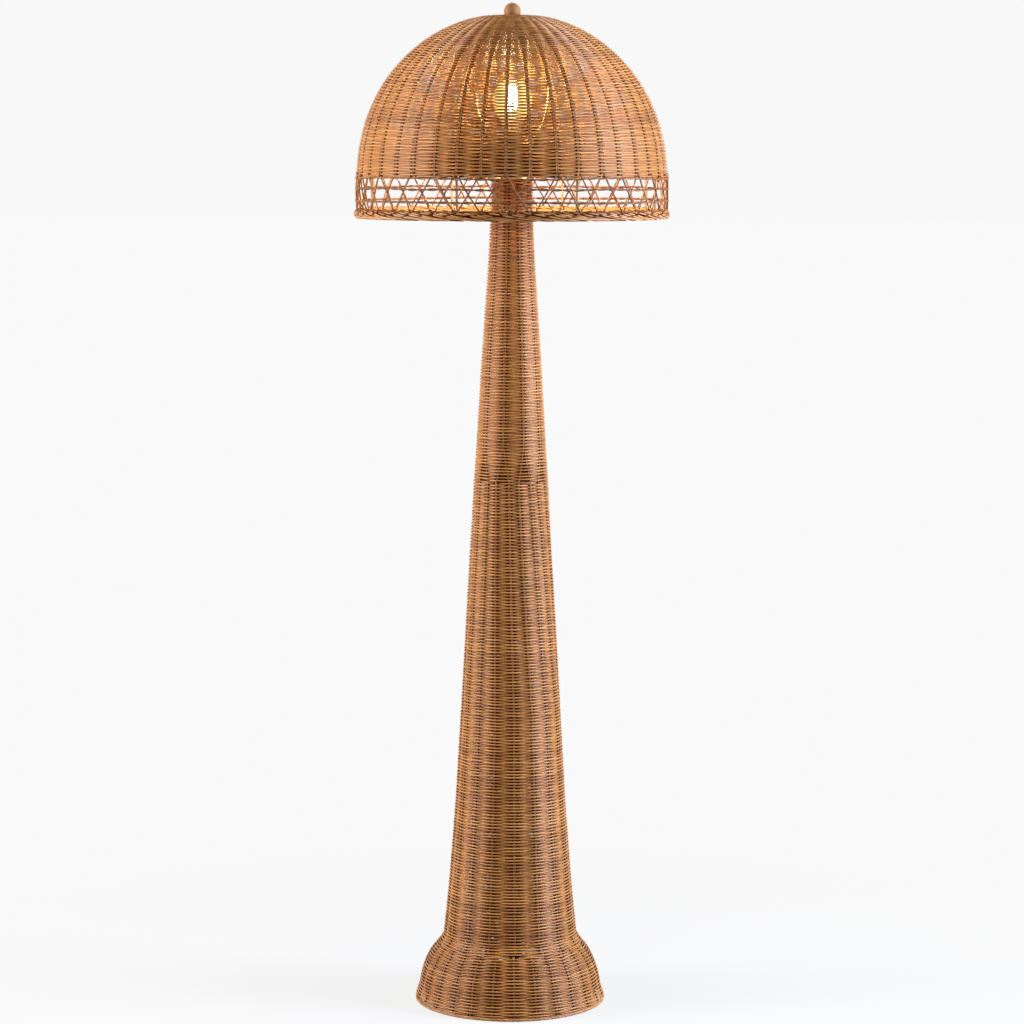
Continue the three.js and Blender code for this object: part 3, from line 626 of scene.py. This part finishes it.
def loosened(points):
    """Share of the reed's thickness: the rows are thinnest before the bulb and tight at the back"""
    away = np.linalg.norm((points - loose_middle) / loose_reach, axis=1)
    return 1 - loose_share * np.exp(-away ** 2) + back_tight * np.clip(points[:, 1] / 0.1, 0, 1)


tiered("dome_rows", dome_rows, 4, "shade", "dome_weave", dome_reed, shade_rattan, girth=loosened)
piece = stakes_piece("dome_stakes", dome_line, dome_stakes, 20, dome_stake_reed, shade_rattan)
dress(piece, "shade", "rattan", "dome_weave")

# Below the dome the two reeds of every stake part, lean away left and right, cross their neighbours
# and run into the border one stake on. Three thin twined rows hold them together.
band_low, band_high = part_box("rim_lattice")
band_radius = 0.2335
band_strand = 0.0024
band_layer = 0.0009
band_rows = (1.2635, 1.2478, 1.2295)
band_overlap = 0.013
band_excess = 0.018
twine_reed = 0.0023
twine_swing = 0.0009
# The band's strands and twine take a darker, less glossy copy of the rattan, which paints in the band's
# shade.
band_shaded_rattan = rattan_material("rattan_band_shaded", [
    (0.2, (0.08, 0.022, 0.003)), (0.45, (0.18, 0.06, 0.01)),
    (0.65, (0.3, 0.112, 0.022)), (0.85, (0.46, 0.2, 0.052)),
], gleam=0.28)
strands = []
pitch = math.tau / dome_stake_count
for stake in range(dome_stake_count):
    for lean in (-1, 1):
        angle = dome_turn + math.tau * stake / dome_stake_count + stake_wander[stake]
        start = angle + lean * stake_gap / 2 / band_radius
        finish = angle + lean * pitch * random.uniform(0.82, 1.06)
        share = np.linspace(0, 1, 8)
        sway = np.sin(math.pi * share) * random.normal(0, 0.006)
        heights = band_high.z + band_overlap - (band_high.z - band_low.z + band_excess) * share
        depth = lean * band_layer * np.sin(math.pi * share) + random.normal(0, 0.0003)
        angles = start + (finish - start) * share + sway
        points = on_circle(band_radius + depth, angles, heights)
        strands.append((points, on_circle(np.ones_like(share), angles, 0), 0 * share))
piece = reed_piece("band_strands", strands, band_strand, band_shaded_rattan, closed=False)
dress(piece, "shade", "rattan", "rim_lattice")
rows = []
for height in band_rows:
    angles = np.linspace(0, math.tau, dome_stake_count * 8, endpoint=False)
    level = height + uneven(angles, 0.0011, 3)
    wind = angles * dome_stake_count
    for side in (-1, 1):
        radius = band_radius + side * (band_layer + twine_swing) * np.cos(wind)
        heights = level + side * twine_swing * np.sin(wind) + uneven(angles, 0.0003)
        points = on_circle(radius, angles, heights)
        # The twine is darkened as painted shade where it passes behind the strands.
        rows.append((points, on_circle(np.ones_like(angles), angles, 0), side * np.cos(wind) * 0.5))
piece = reed_piece("band_twine", rows, twine_reed, band_shaded_rattan, closed=True)
dress(piece, "shade", "rattan", "rim_lattice")

# The rim is a thicker border. The strands that come down the band bend aside over a wound core and
# lie slanting over one another, each falling to the right and tucked in under the rim.
rim_low, rim_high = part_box("rim_braid")
rim_reed = 0.0025
rim_dives = 5
rim_dive_depth = 0.0014
rim_top_radius = 0.2339
rim_bulge_radius = 0.2381
rim_lay = 0.105
rim_lay_radius = 0.236
rim_core_radius = 0.2358
piece = rolled_border("rim_core", rim_low.z + 0.002, rim_high.z - 0.0008, rim_core_radius, width=0.0066,
                      reed=0.0032, strands=9, turn_length=0.12, material=border_tan, recess_shade=0.7)
dress(piece, "shade", "braid", "rim_braid")
strands = []
for strand in range(2 * dome_stake_count):
    share = np.linspace(-0.06, 1.06, 41)
    fall = np.clip(share, 0, 1)
    fall = 0.16 * np.minimum(fall / 0.1, 1) + 0.84 * fall ** random.uniform(0.9, 1.15)
    lay = rim_lay * random.uniform(0.9, 1.1) / rim_lay_radius
    angles = dome_turn + math.pi * (strand + random.normal(0, 0.08)) / dome_stake_count + lay * share
    round_edge = math.pi * (0.08 + 0.92 * fall)
    drop = (rim_high.z - rim_low.z - rim_reed) * (0.5 - 0.5 * np.cos(round_edge))
    tuck = np.interp(share, (0, 0.1, 0.22, 0.8, 1), (1, 0.7, 0, 0, 1))
    phase = math.pi * strand + random.normal(0, 0.6)
    under = (0.5 - 0.5 * np.cos(math.tau * rim_dives * share + phase)) ** 3
    under *= np.clip(1.7 - 2 * fall, 0.15, 1)
    bulge = np.sin(round_edge) ** 0.45
    radius = rim_top_radius + (rim_bulge_radius - rim_top_radius) * bulge - rim_reed / 2
    radius -= rim_dive_depth * (1.6 * tuck + under)
    outward = on_circle(np.sin(round_edge), angles, np.cos(round_edge))
    points = on_circle(radius, angles, rim_high.z - rim_reed / 2 - drop)
    # Where a strand tucks in under the rim or dives under its neighbours, it is darkened as painted
    # shade.
    strands.append((points, outward, -0.5 * tuck - 0.8 * under))
piece = reed_piece("rim_border", strands, rim_reed, border_tan, closed=False)
dress(piece, "shade", "braid", "rim_braid")

# The base is a cast iron disc that fills the foot and keeps the tall lamp upright. A felt pad is
# glued under it, and a bush at the back lets the cord in.
def fine_material(name, light, dark, scale, metallic=0.0, roughness=0.5, relief=0.0, **inputs):
    """Two close tones mixed by cloudy noise, which also varies the gloss and lifts the surface"""
    material, tree = new_material(name)
    place = add_node(tree, "TexCoord").outputs["Object"]
    stretch = add_node(tree, "VectorMath", place, scale, operation="MULTIPLY")
    cloud = add_node(tree, "TexNoise", stretch, Scale=1, Detail=4, Roughness=0.6)
    gloss = add_node(tree, "MapRange", cloud, To_Min=roughness + 0.1, To_Max=roughness - 0.1)
    bump = add_node(tree, "Bump", Strength=1, Distance=relief, Height=cloud)
    feed(tree.nodes["Principled BSDF"], Base_Color=toned(tree, cloud, ((0.35, dark), (0.65, light))),
         Roughness=gloss, Normal=bump, Metallic=metallic, **inputs)
    return material


def finished(name, bm, material):
    """The mesh as an object: one skin, faces outward, smooth but for its true edges"""
    bmesh.ops.remove_doubles(bm, verts=bm.verts, dist=1e-6)
    bmesh.ops.recalc_face_normals(bm, faces=bm.faces)
    mesh = bpy.data.meshes.new(name)
    bm.to_mesh(mesh)
    bm.free()
    mesh.shade_smooth()
    mesh.set_sharp_from_angle(angle=math.radians(40))
    mesh.materials.append(material)
    return new_object(name, mesh)


def turned_piece(name, outline, material, segments, rounding=0.0, turn=None, place=(0, 0, 0)):
    """A solid turned about Z from its outline of radius and height, with its corners rounded"""
    bm = bmesh.new()
    verts = [bm.verts.new((radius, 0, height)) for radius, height in outline]
    for pair in zip(verts, verts[1:] + verts[:1]):
        bm.edges.new(pair)
    if rounding:
        corners = [vert for vert in verts if vert.co.x > 1e-6]
        bmesh.ops.bevel(bm, geom=corners, offset=rounding, segments=3, profile=0.5, affect="VERTICES",
                        material=-1)
    bmesh.ops.spin(bm, geom=bm.verts[:] + bm.edges[:], cent=(0, 0, 0), axis=(0, 0, 1),
                   angle=math.tau, steps=segments, use_merge=True)
    if turn is not None:
        bmesh.ops.rotate(bm, verts=bm.verts, cent=(0, 0, 0), matrix=turn)
    bmesh.ops.translate(bm, verts=bm.verts, vec=place)
    bmesh.ops.remove_doubles(bm, verts=bm.verts, dist=1e-6)
    flat = [face for face in bm.faces if face.calc_area() < 1e-12]
    bmesh.ops.delete(bm, geom=flat, context="FACES")
    return finished(name, bm, material)


def span(node):
    """Half width, bottom and top of a CAD node"""
    low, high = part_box(node)
    return (high.x - low.x) / 2, low.z, high.z


def disc(hole, radius, bottom, top):
    """The outline of a disc, with a hole or without"""
    return [(hole, bottom), (radius, bottom), (radius, top), (hole, top)]


cast_iron = fine_material("cast_iron", (0.05, 0.048, 0.045), (0.028, 0.026, 0.025), (220, 220, 220),
                          roughness=0.62, relief=0.0006)
felt = fine_material("felt", (0.035, 0.03, 0.028), (0.016, 0.014, 0.013), (900, 900, 900),
                     roughness=0.88, relief=0.0008)
dark_plastic = fine_material("dark_plastic", (0.04, 0.032, 0.026), (0.03, 0.024, 0.02), (400, 400, 400),
                             roughness=0.38, relief=0.00004)
piece = turned_piece("base_pad_felt", disc(0, *span("base_pad")), felt, 96, 0.0006)
dress(piece, "base", "pad", "base_pad")
radius, bottom, top = span("base_weight")
weight_edge = 0.004
pipe_hole = 0.0054
nut_recess = 0.016
nut_room = 0.01
outline = [
    (nut_recess, bottom), (radius - weight_edge, bottom), (radius - weight_edge, top - weight_edge),
    (radius, top - weight_edge), (radius, top), (pipe_hole, top), (pipe_hole, bottom + nut_room),
    (nut_recess, bottom + nut_room),
]
dress(turned_piece("base_weight_iron", outline, cast_iron, 96, 0.0012), "base", "iron", "base_weight")
low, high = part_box("cord_inlet")
inlet_radius = (high.x - low.x) / 2
inlet_length = high.y - low.y
inlet_neck = 0.005
inlet_collar = 0.002
cord_hole = 0.0035
outline = [(cord_hole, -inlet_length), (inlet_neck, -inlet_length), (inlet_neck, -inlet_collar),
           (inlet_radius, -inlet_collar), (inlet_radius, 0), (cord_hole, 0)]
to_back = Matrix.Rotation(-math.pi / 2, 3, "X")
place = (0, high.y, (low.z + high.z) / 2)
piece = turned_piece("cord_bush", outline, dark_plastic, 48, 0.0004, to_back, place)
dress(piece, "base", "plastic", "cord_inlet")

# A threaded steel pipe stands on the weight between two nuts and runs up the middle of the column
# to the socket. Wire spiders hold it central, and four wire rods carry the column's lid.
steel = fine_material("zinc_steel", (0.56, 0.55, 0.52), (0.4, 0.39, 0.37), (90, 90, 90),
                      metallic=1.0, roughness=0.42, relief=0.00005)
brass = fine_material("lacquered_brass", (0.66, 0.46, 0.19), (0.5, 0.32, 0.11), (70, 70, 260),
                      metallic=1.0, roughness=0.34, relief=0.00004)
frame_paint = fine_material("frame_lacquer", (0.42, 0.235, 0.09), (0.3, 0.155, 0.055), (120, 120, 120),
                            roughness=0.42, relief=0.00008)


def finish_nodes(material, *nodes):
    """The CAD's own small parts have the right shape and only get their finish"""
    for node in nodes:
        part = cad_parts[node]
        part.data.materials.clear()
        part.data.materials.append(material)


finish_nodes(steel, "lower_nut", "base_washer", "base_nut", "low_spider", "top_spider",
             *(f"column_rod_{rod}" for rod in (1, 2, 3, 4)))
finish_nodes(brass, "neck_washer", "neck_nut")


def thread(radius, depth, bottom, length, steps):
    """The outline of a screw thread, from crest to root or back in each step"""
    return [(radius - depth * (step % 2), bottom + length * step / steps) for step in range(steps + 1)]


radius, bottom, top = span("centre_pipe")
outline = thread(radius, 0.00035, bottom, 0.02, 40)
outline += [(radius, top), (cord_hole, top), (cord_hole, bottom)]
dress(turned_piece("pipe", outline, steel, 32), "base", "steel", "centre_pipe")
piece = turned_piece("lid", disc(pipe_hole, *span("column_lid")), brass, 64, 0.0008)
dress(piece, "base", "brass", "column_lid")

# The harp is a bent brass wire with its feet on the posts of a flat saddle. Two sleeves slide down
# over feet and posts and lock them; lifting the sleeves frees the harp.
def wire_piece(name, paths, radius, material, closed=False, smooth=True, tip=1.0):
    """Round wires swept along smooth paths, with closed ends that are tip times as thick"""
    curve = bpy.data.curves.new(name, "CURVE")
    curve.dimensions = "3D"
    curve.bevel_depth = radius
    curve.bevel_resolution = 3
    curve.resolution_u = 8
    curve.use_fill_caps = True
    for path in paths:
        spline = curve.splines.new("BEZIER")
        spline.bezier_points.add(len(path) - 1)
        for point, place in zip(spline.bezier_points, path):
            point.co = place
            point.handle_left_type = point.handle_right_type = "AUTO" if smooth else "VECTOR"
        spline.use_cyclic_u = closed
        spline.bezier_points[0].radius = spline.bezier_points[-1].radius = tip
    mesh = swept(name, curve)
    bm = bmesh.new()
    bm.from_mesh(mesh)
    bpy.data.meshes.remove(mesh)
    return finished(name, bm, material)


low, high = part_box("harp_wire")
harp_wire = 0.002
harp_foot = 0.029
harp_reach = 0.055
harp_leg = 0.024
harp_flat = 0.009
harp_shares = [(0.18, 0.68), (0.42, 1), (0.66, 0.92), (0.86, 0.48), (0.96, 0.02)]
crown = high.z - harp_wire
bow = low.z + harp_leg
path = [(harp_foot, low.z), (harp_foot, (low.z + bow) / 2), (harp_foot, bow)]
path += [(harp_foot + (harp_reach - harp_foot) * reach, bow + (crown - bow) * rise)
         for rise, reach in harp_shares]
path += [(harp_flat, crown)]
points = [(-x, 0, z) for x, z in path] + [(0, 0, crown)] + [(x, 0, z) for x, z in reversed(path)]
dress(wire_piece("harp", [points], harp_wire, brass), "base", "brass", "harp_wire")
low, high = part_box("harp_saddle")
saddle_thick = 0.002
saddle_bend = 0.004
post_rise = 0.01
post_half = 0.0035
post_shoulder = low.z + saddle_thick + post_rise
bm = bmesh.new()
side = [(-high.x, high.z), (-high.x, low.z), (high.x, low.z), (high.x, high.z)]
inner = [(x * (1 - saddle_thick / high.x), max(z, low.z + saddle_thick)) for x, z in reversed(side)]
verts = [bm.verts.new((x, -high.y, z)) for x, z in side + inner]
bm.faces.new(verts)
made = bmesh.ops.extrude_face_region(bm, geom=bm.faces[:])
moved = [part for part in made["geom"] if isinstance(part, bmesh.types.BMVert)]
bmesh.ops.translate(bm, verts=moved, vec=(0, 2 * high.y, 0))
for depth, offset in ((low.z, saddle_bend), (low.z + saddle_thick, saddle_bend - saddle_thick)):
    bends = [edge for edge in bm.edges if all(abs(vert.co.z - depth) < 1e-5 for vert in edge.verts)
             and abs(edge.verts[0].co.x - edge.verts[1].co.x) < 1e-5]
    bmesh.ops.bevel(bm, geom=bends, offset=offset, segments=5, profile=0.5, affect="EDGES", material=-1)
for level in (post_shoulder, post_shoulder + 0.0003):
    geometry = bm.verts[:] + bm.edges[:] + bm.faces[:]
    bmesh.ops.bisect_plane(bm, geom=geometry, plane_co=(0, 0, level), plane_no=(0, 0, 1))
for vert in bm.verts:
    if vert.co.z > post_shoulder + 0.0001:
        vert.co.y = math.copysign(post_half, vert.co.y)


def bored(piece, radius, start, finish):
    """The piece with a round hole cut through it from start to finish"""
    start, finish = Vector(start), Vector(finish)
    turn = (finish - start).to_track_quat("Z", "Y").to_matrix().to_4x4()
    bm = bmesh.new()
    bmesh.ops.create_cone(bm, cap_ends=True, segments=40, radius1=radius, radius2=radius,
                          depth=(finish - start).length,
                          matrix=Matrix.Translation((start + finish) / 2) @ turn)
    drill = finished(piece.name + "_drill", bm, piece.data.materials[0])
    hole = piece.modifiers.new("hole", "BOOLEAN")
    hole.operation = "DIFFERENCE"
    hole.object = drill
    solid = piece.evaluated_get(bpy.context.evaluated_depsgraph_get())
    mesh = bpy.data.meshes.new_from_object(solid)
    piece.modifiers.clear()
    piece.data = mesh
    bpy.data.objects.remove(drill)
    return piece


piece = bored(finished("saddle", bm, brass), pipe_hole, (0, 0, low.z - 0.001), (0, 0, low.z + 0.004))
dress(piece, "base", "brass", "harp_saddle")
sleeve_wall = 0.0012
sleeve_lip = 0.0005
for side, body in (("left", "ferrule_l"), ("right", "ferrule_r")):
    low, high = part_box(f"ferrule_{side}")
    radius, bottom, top = span(f"ferrule_{side}")
    outline = [(radius - sleeve_wall, bottom), (radius, bottom), (radius, bottom + 0.0015),
               (radius - sleeve_lip, bottom + 0.0025), (radius - sleeve_lip, top - 0.0015),
               (radius - sleeve_wall, top)]
    place = ((low.x + high.x) / 2, 0, 0)
    piece = turned_piece(f"sleeve_{side}", outline, brass, 40, place=place)
    dress(piece, body, "brass", f"ferrule_{side}")
radius, bottom, top = span("harp_stud")
stud_radius = 0.0031
seat_height = 0.0032
stud_edge = 0.001
outline = [(0, bottom), (radius - stud_edge, bottom), (radius, bottom + stud_edge),
           (radius, bottom + seat_height)]
outline += thread(stud_radius, 0.0003, bottom + seat_height, top - bottom - seat_height - stud_edge, 24)
outline += [(stud_radius - stud_edge, top), (0, top)]
dress(turned_piece("stud", outline, brass, 40), "base", "brass", "harp_stud")

# The socket is a brass shell in a domed brass cap, lined with card. Inside it a dark insulator holds
# the threaded sleeve and the centre contact. The switch's knob stands out at the front.
card = fine_material("card", (0.5, 0.39, 0.25), (0.38, 0.29, 0.18), (500, 500, 120),
                     roughness=0.85, relief=0.0001)
radius, bottom, top = span("socket_cap")
cap_wall = 0.0008
cap_floor = 0.0009
outline = [(pipe_hole, bottom), (radius * 0.62, bottom), (radius * 0.86, bottom + 0.0012),
           (radius, bottom + 0.0042), (radius, top), (radius - cap_wall, top),
           (radius - cap_wall, bottom + 0.0046), (radius * 0.6, bottom + cap_floor),
           (pipe_hole, bottom + cap_floor)]
dress(turned_piece("socket_cap_brass", outline, brass, 64), "base", "brass", "socket_cap")
shaft_low, shaft_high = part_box("switch_shaft")
switch_axis = (shaft_low.z + shaft_high.z) / 2
switch_bore = (0.0024, (0, -0.03, switch_axis), (0, shaft_high.y, switch_axis))
radius, bottom, top = span("socket_shell")
bead = 0.0005
bead_half = (0.0016, 0.0007)
shell_wall = 0.0013
outline = [(radius, bottom)]
for share in (0.12, 0.5, 0.9):
    middle = bottom + (top - bottom) * share
    outline += [(radius - bead, middle - bead_half[0]), (radius, middle - bead_half[1]),
                (radius, middle + bead_half[1]), (radius - bead, middle + bead_half[0])]
outline += [(radius - bead, top), (radius - shell_wall, top), (radius - shell_wall, bottom)]
piece = bored(turned_piece("socket_shell_brass", outline, brass, 64), *switch_bore)
dress(piece, "base", "brass", "socket_shell")
radius, bottom, top = span("socket_liner")
card_wall = 0.0009
outline = [(radius, bottom), (radius, top), (radius - card_wall, top), (radius - card_wall, bottom)]
piece = bored(turned_piece("socket_card", outline, card, 48), *switch_bore)
dress(piece, "base", "card", "socket_liner")
radius, bottom, top = span("socket_thread")
thread_wall = 0.0006
outer = thread(radius, 0.0003, bottom, top - bottom, 24)
outline = outer + [(x - thread_wall, z) for x, z in reversed(outer)]
dress(turned_piece("socket_sleeve", outline, brass, 48), "base", "brass", "socket_thread")
piece = turned_piece("insulator", disc(0, *span("socket_insulator")), dark_plastic, 48, 0.0008)
piece = bored(piece, *switch_bore)
dress(piece, "base", "plastic", "socket_insulator")
radius, bottom, top = span("socket_contact")
outline = [(0, bottom), (radius, bottom), (radius, (bottom + top) / 2), (0, top)]
dress(turned_piece("contact", outline, brass, 32, 0.0003), "base", "brass", "socket_contact")
to_front = Matrix.Rotation(math.pi / 2, 3, "X")
outline = disc(0, 0.002, 0, shaft_high.y - shaft_low.y)
piece = turned_piece("shaft", outline, brass, 24, 0.0003, to_front, (0, shaft_high.y, switch_axis))
dress(piece, "switch", "brass", "switch_shaft")
low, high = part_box("switch_knob")
knob_radius = (high.x - low.x) / 2
knob_length = high.y - low.y
knob_bore = 0.0023
knob_socket = 0.008
flutes = 24
flute_depth = 0.00025
outline = [(knob_bore, 0), (knob_radius * 0.85, 0), (knob_radius, knob_length), (0, knob_length),
           (0, knob_socket), (knob_bore, knob_socket)]
piece = turned_piece("knob", outline, dark_plastic, 96, 0.0006, to_front, (0, high.y, switch_axis))
for vert in piece.data.vertices:
    reach = Vector((vert.co.x, 0, vert.co.z - switch_axis))
    if reach.length > knob_radius * 0.8:
        wave = 1 + math.cos(flutes * math.atan2(reach.x, reach.z))
        vert.co -= reach.normalized() * flute_depth * wave
dress(piece, "switch", "plastic", "switch_knob")

# The bulb is a clear pear with four upright glowing filaments between wire supports on a glass stem.
# Its threaded cap is nickelled brass. The glass and its stem carry a painted glow, strongest round the
# filaments, and a soft light in their middle lights the shade, the harp and the socket.
nickel = fine_material("nickel", (0.7, 0.68, 0.63), (0.55, 0.53, 0.48), (80, 80, 80),
                       metallic=1.0, roughness=0.3)
bulb_shares = [
    (0, 0.44), (0.12, 0.48), (0.28, 0.66), (0.42, 0.88), (0.56, 0.99), (0.66, 1),
    (0.78, 0.9), (0.89, 0.67), (0.965, 0.37), (1, 0),
]
low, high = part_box("bulb_glass")
glass_wall = 0.001
outline = [(high.y * swell, low.z + (high.z - low.z) * rise) for rise, swell in bulb_shares]
curve = along_outline(outline, softening=0.005)[::5]
outer = [(radius, height) for radius, height, _, _ in curve] + [(0, high.z)]
inner = [(max(radius - glass_wall * out, 0), height - glass_wall * up)
         for radius, height, out, up in curve] + [(0, high.z - glass_wall)]
inner[0] = (inner[0][0], low.z)
painted_glass_glow = (1, 0.61, 0.17, 1)
clear_glass = fine_material("bulb_clear", (0.05, 0.04, 0.03), (0.03, 0.025, 0.02), (50, 50, 50),
                            roughness=0.14, Alpha=0.14, IOR=1.45, Emission_Color=painted_glass_glow)
# The glow on the glass is painted light: strongest within a few centimetres of the filaments, and faint
# over the rest of the glass and the stem.
halo_strength = (3.8, 1)
halo_reach = (0.028, 0.044)
filament_low, filament_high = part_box("bulb_filament")
tree = clear_glass.node_tree
place = add_node(tree, "TexCoord").outputs["Object"]
filament_middle = (0, 0, (filament_low.z + filament_high.z) / 2)
away = add_node(tree, "VectorMath", place, filament_middle, operation="DISTANCE")
halo = add_node(tree, "MapRange", away, *halo_reach, *halo_strength, interpolation_type="SMOOTHSTEP")
feed(tree.nodes["Principled BSDF"], Emission_Strength=halo)
piece = turned_piece("bulb_envelope", outer + inner[::-1], clear_glass, 64)
dress(piece, "bulb", "glass", "bulb_glass")
radius, bottom, top = span("bulb_stem")
stem_radius = 0.0035
outline = [(0, bottom), (radius, bottom), (radius * 0.6, bottom + 0.008),
           (stem_radius, bottom + 0.018), (stem_radius, top - 0.001), (0.002, top), (0, top)]
dress(turned_piece("stem_glass", outline, clear_glass, 32), "bulb", "glass", "bulb_stem")
filament_circle = 0.0061
filament_radius = 0.0018
filament_turn = math.radians(20)
filament_lead = 0.0025
filament_warm = (1, 0.9, 0.66, 1)
glowing = fine_material("filament_glow", (1, 0.8, 0.45), (1, 0.72, 0.35), (300, 300, 300), roughness=0.6,
                        Emission_Color=filament_warm, Emission_Strength=90)
corners = [(filament_circle * math.sin(turn), -filament_circle * math.cos(turn))
           for turn in filament_turn + np.arange(4) * math.pi / 2]
ends = filament_low.z + filament_lead, filament_high.z - filament_lead
sticks = [[(x, y, rise) for rise in np.linspace(*ends, 5)] for x, y in corners]
piece = wire_piece("filaments", sticks, filament_radius, glowing, smooth=False, tip=0.3)
dress(piece, "bulb", "filament", "bulb_filament")
low_wire = filament_low.z + 0.0005
high_wire = filament_high.z - 0.0005
leads = [[(0, 0, low_wire), (x, y, low_wire), (x, y, ends[0])] for x, y in corners]
leads += [[(x, y, ends[1]), (x, y, high_wire), (0, 0, high_wire)] for x, y in corners]
piece = wire_piece("filament_leads", leads, 0.0003, nickel, smooth=False)
dress(piece, "bulb", "steel", "bulb_filament")
radius, bottom, top = span("bulb_cap")
cap_thread = 0.0009
cap_core = radius - 0.0015
cap_solid = 0.012
outline = [(0, bottom), (0.005, bottom), (radius * 0.75, bottom + 0.0045),
           (radius - cap_thread, bottom + 0.007)]
outline += thread(radius, cap_thread, bottom + 0.008, top - bottom - 0.01, 14)
outline += [(radius - 0.0005, top), (cap_core, top), (cap_core, bottom + cap_solid),
            (0, bottom + cap_solid)]
dress(turned_piece("bulb_thread", outline, nickel, 48), "bulb", "steel", "bulb_cap")
radius, bottom, top = span("bulb_tip")
outline = [(0, bottom), (radius * 0.6, bottom), (radius, top), (0, top)]
dress(turned_piece("bulb_contact", outline, nickel, 32, 0.0003), "bulb_core", "steel", "bulb_tip")
glow = bpy.data.lights.new("bulb_light", "POINT")
glow.energy = 30
glow.color = (1, 0.84, 0.52)
glow.shadow_soft_size = 0.006
glow.use_nodes = True
spread = add_node(glow.node_tree, "LightFalloff", Strength=1, Smooth=0.02)
feed(glow.node_tree.nodes["Emission"], Strength=spread.outputs["Quadratic"])
new_object("bulb_light", glow).location = filament_middle

# A frame of tan lacquered wire carries the woven shade: a ring in the rim, eight ribs up the dome
# and a small ring under the crown, hung by four arms from a hub that sits on the harp's stud.
ring_points = 24


def ring_path(radius, height):
    """A ring of wire round the lamp's axis"""
    turn = np.linspace(0, math.tau, ring_points, endpoint=False)
    return [tuple(place) for place in on_circle(radius, turn, height)]


radius, bottom, top = span("rim_ring")
frame_wire = 0.002
ring = ring_path(radius - frame_wire, (bottom + top) / 2)
piece = wire_piece("rim_wire", [ring], frame_wire, frame_paint, closed=True)
dress(piece, "shade", "steel", "rim_ring")
frame_inset = 0.0081
frame_turn = math.radians(-20.5)
top_ring = 0.06
rib_gap = 0.0043


def spoke(share, line):
    """A wire of radii and heights in an upright plane, a share of a turn on from the frame's first"""
    turn = np.array([frame_turn + math.tau * share])
    return [tuple(on_circle(x, turn, z)[0]) for x, z in line]


start = dome_angle(top_ring + rib_gap, frame_inset)
line = [dome_curve(start * (1 - k / 9), frame_inset) for k in range(10)]
line.append((radius - frame_wire, top + 0.0003))
paths = [spoke(rib / 8, line) for rib in range(8)]
piece = wire_piece("rib_wires", paths, frame_wire, frame_paint)
dress(piece, "shade", "steel", *(f"shade_rib_{rib + 1}" for rib in range(8)))
hub_radius = 0.0152
hub_bore = 0.0035
hub_thick = 0.003
ring_half, bottom, top = span("shade_hub")
outline = disc(hub_bore, hub_radius, top - hub_thick, top)
dress(turned_piece("hub", outline, frame_paint, 48, 0.0005), "shade", "steel", "shade_hub")
ring_place = (ring_half - frame_wire, bottom + frame_wire)
paths = [spoke(arm / 4, [(hub_radius * 0.6, top - hub_thick / 2), ring_place]) for arm in range(4)]
piece = wire_piece("hub_arms", paths, 0.0014, frame_paint, smooth=False)
dress(piece, "shade", "steel", "shade_hub")
piece = wire_piece("hub_ring", [ring_path(*ring_place)], frame_wire, frame_paint, closed=True)
dress(piece, "shade", "steel", "shade_hub")

# The finial is a turned ball of pale oiled wood with a flat seat, screwed down on the stud by a
# threaded brass insert.
wood = fine_material("finial_oiled", (0.36, 0.17, 0.055), (0.25, 0.105, 0.03), (420, 420, 60),
                     roughness=0.62, relief=0.00006, Specular_IOR_Level=0.3)
radius, bottom, top = span("finial_ball")
flat_share = 0.72
centre = top - radius
steps = np.linspace(-math.asin(flat_share), math.pi / 2, 28)
skin = [(radius * math.cos(step), centre + radius * math.sin(step)) for step in steps]
skin[-1] = (0, top)
insert_half, _, insert_top = span("finial_insert")
bore = insert_half + 0.0003
outline = skin + [(0, insert_top + 0.0003), (bore, insert_top + 0.0003), (bore, bottom)]
dress(turned_piece("finial", outline, wood, 64), "finial", "finial_wood", "finial_ball")
finish_nodes(brass, "finial_insert")
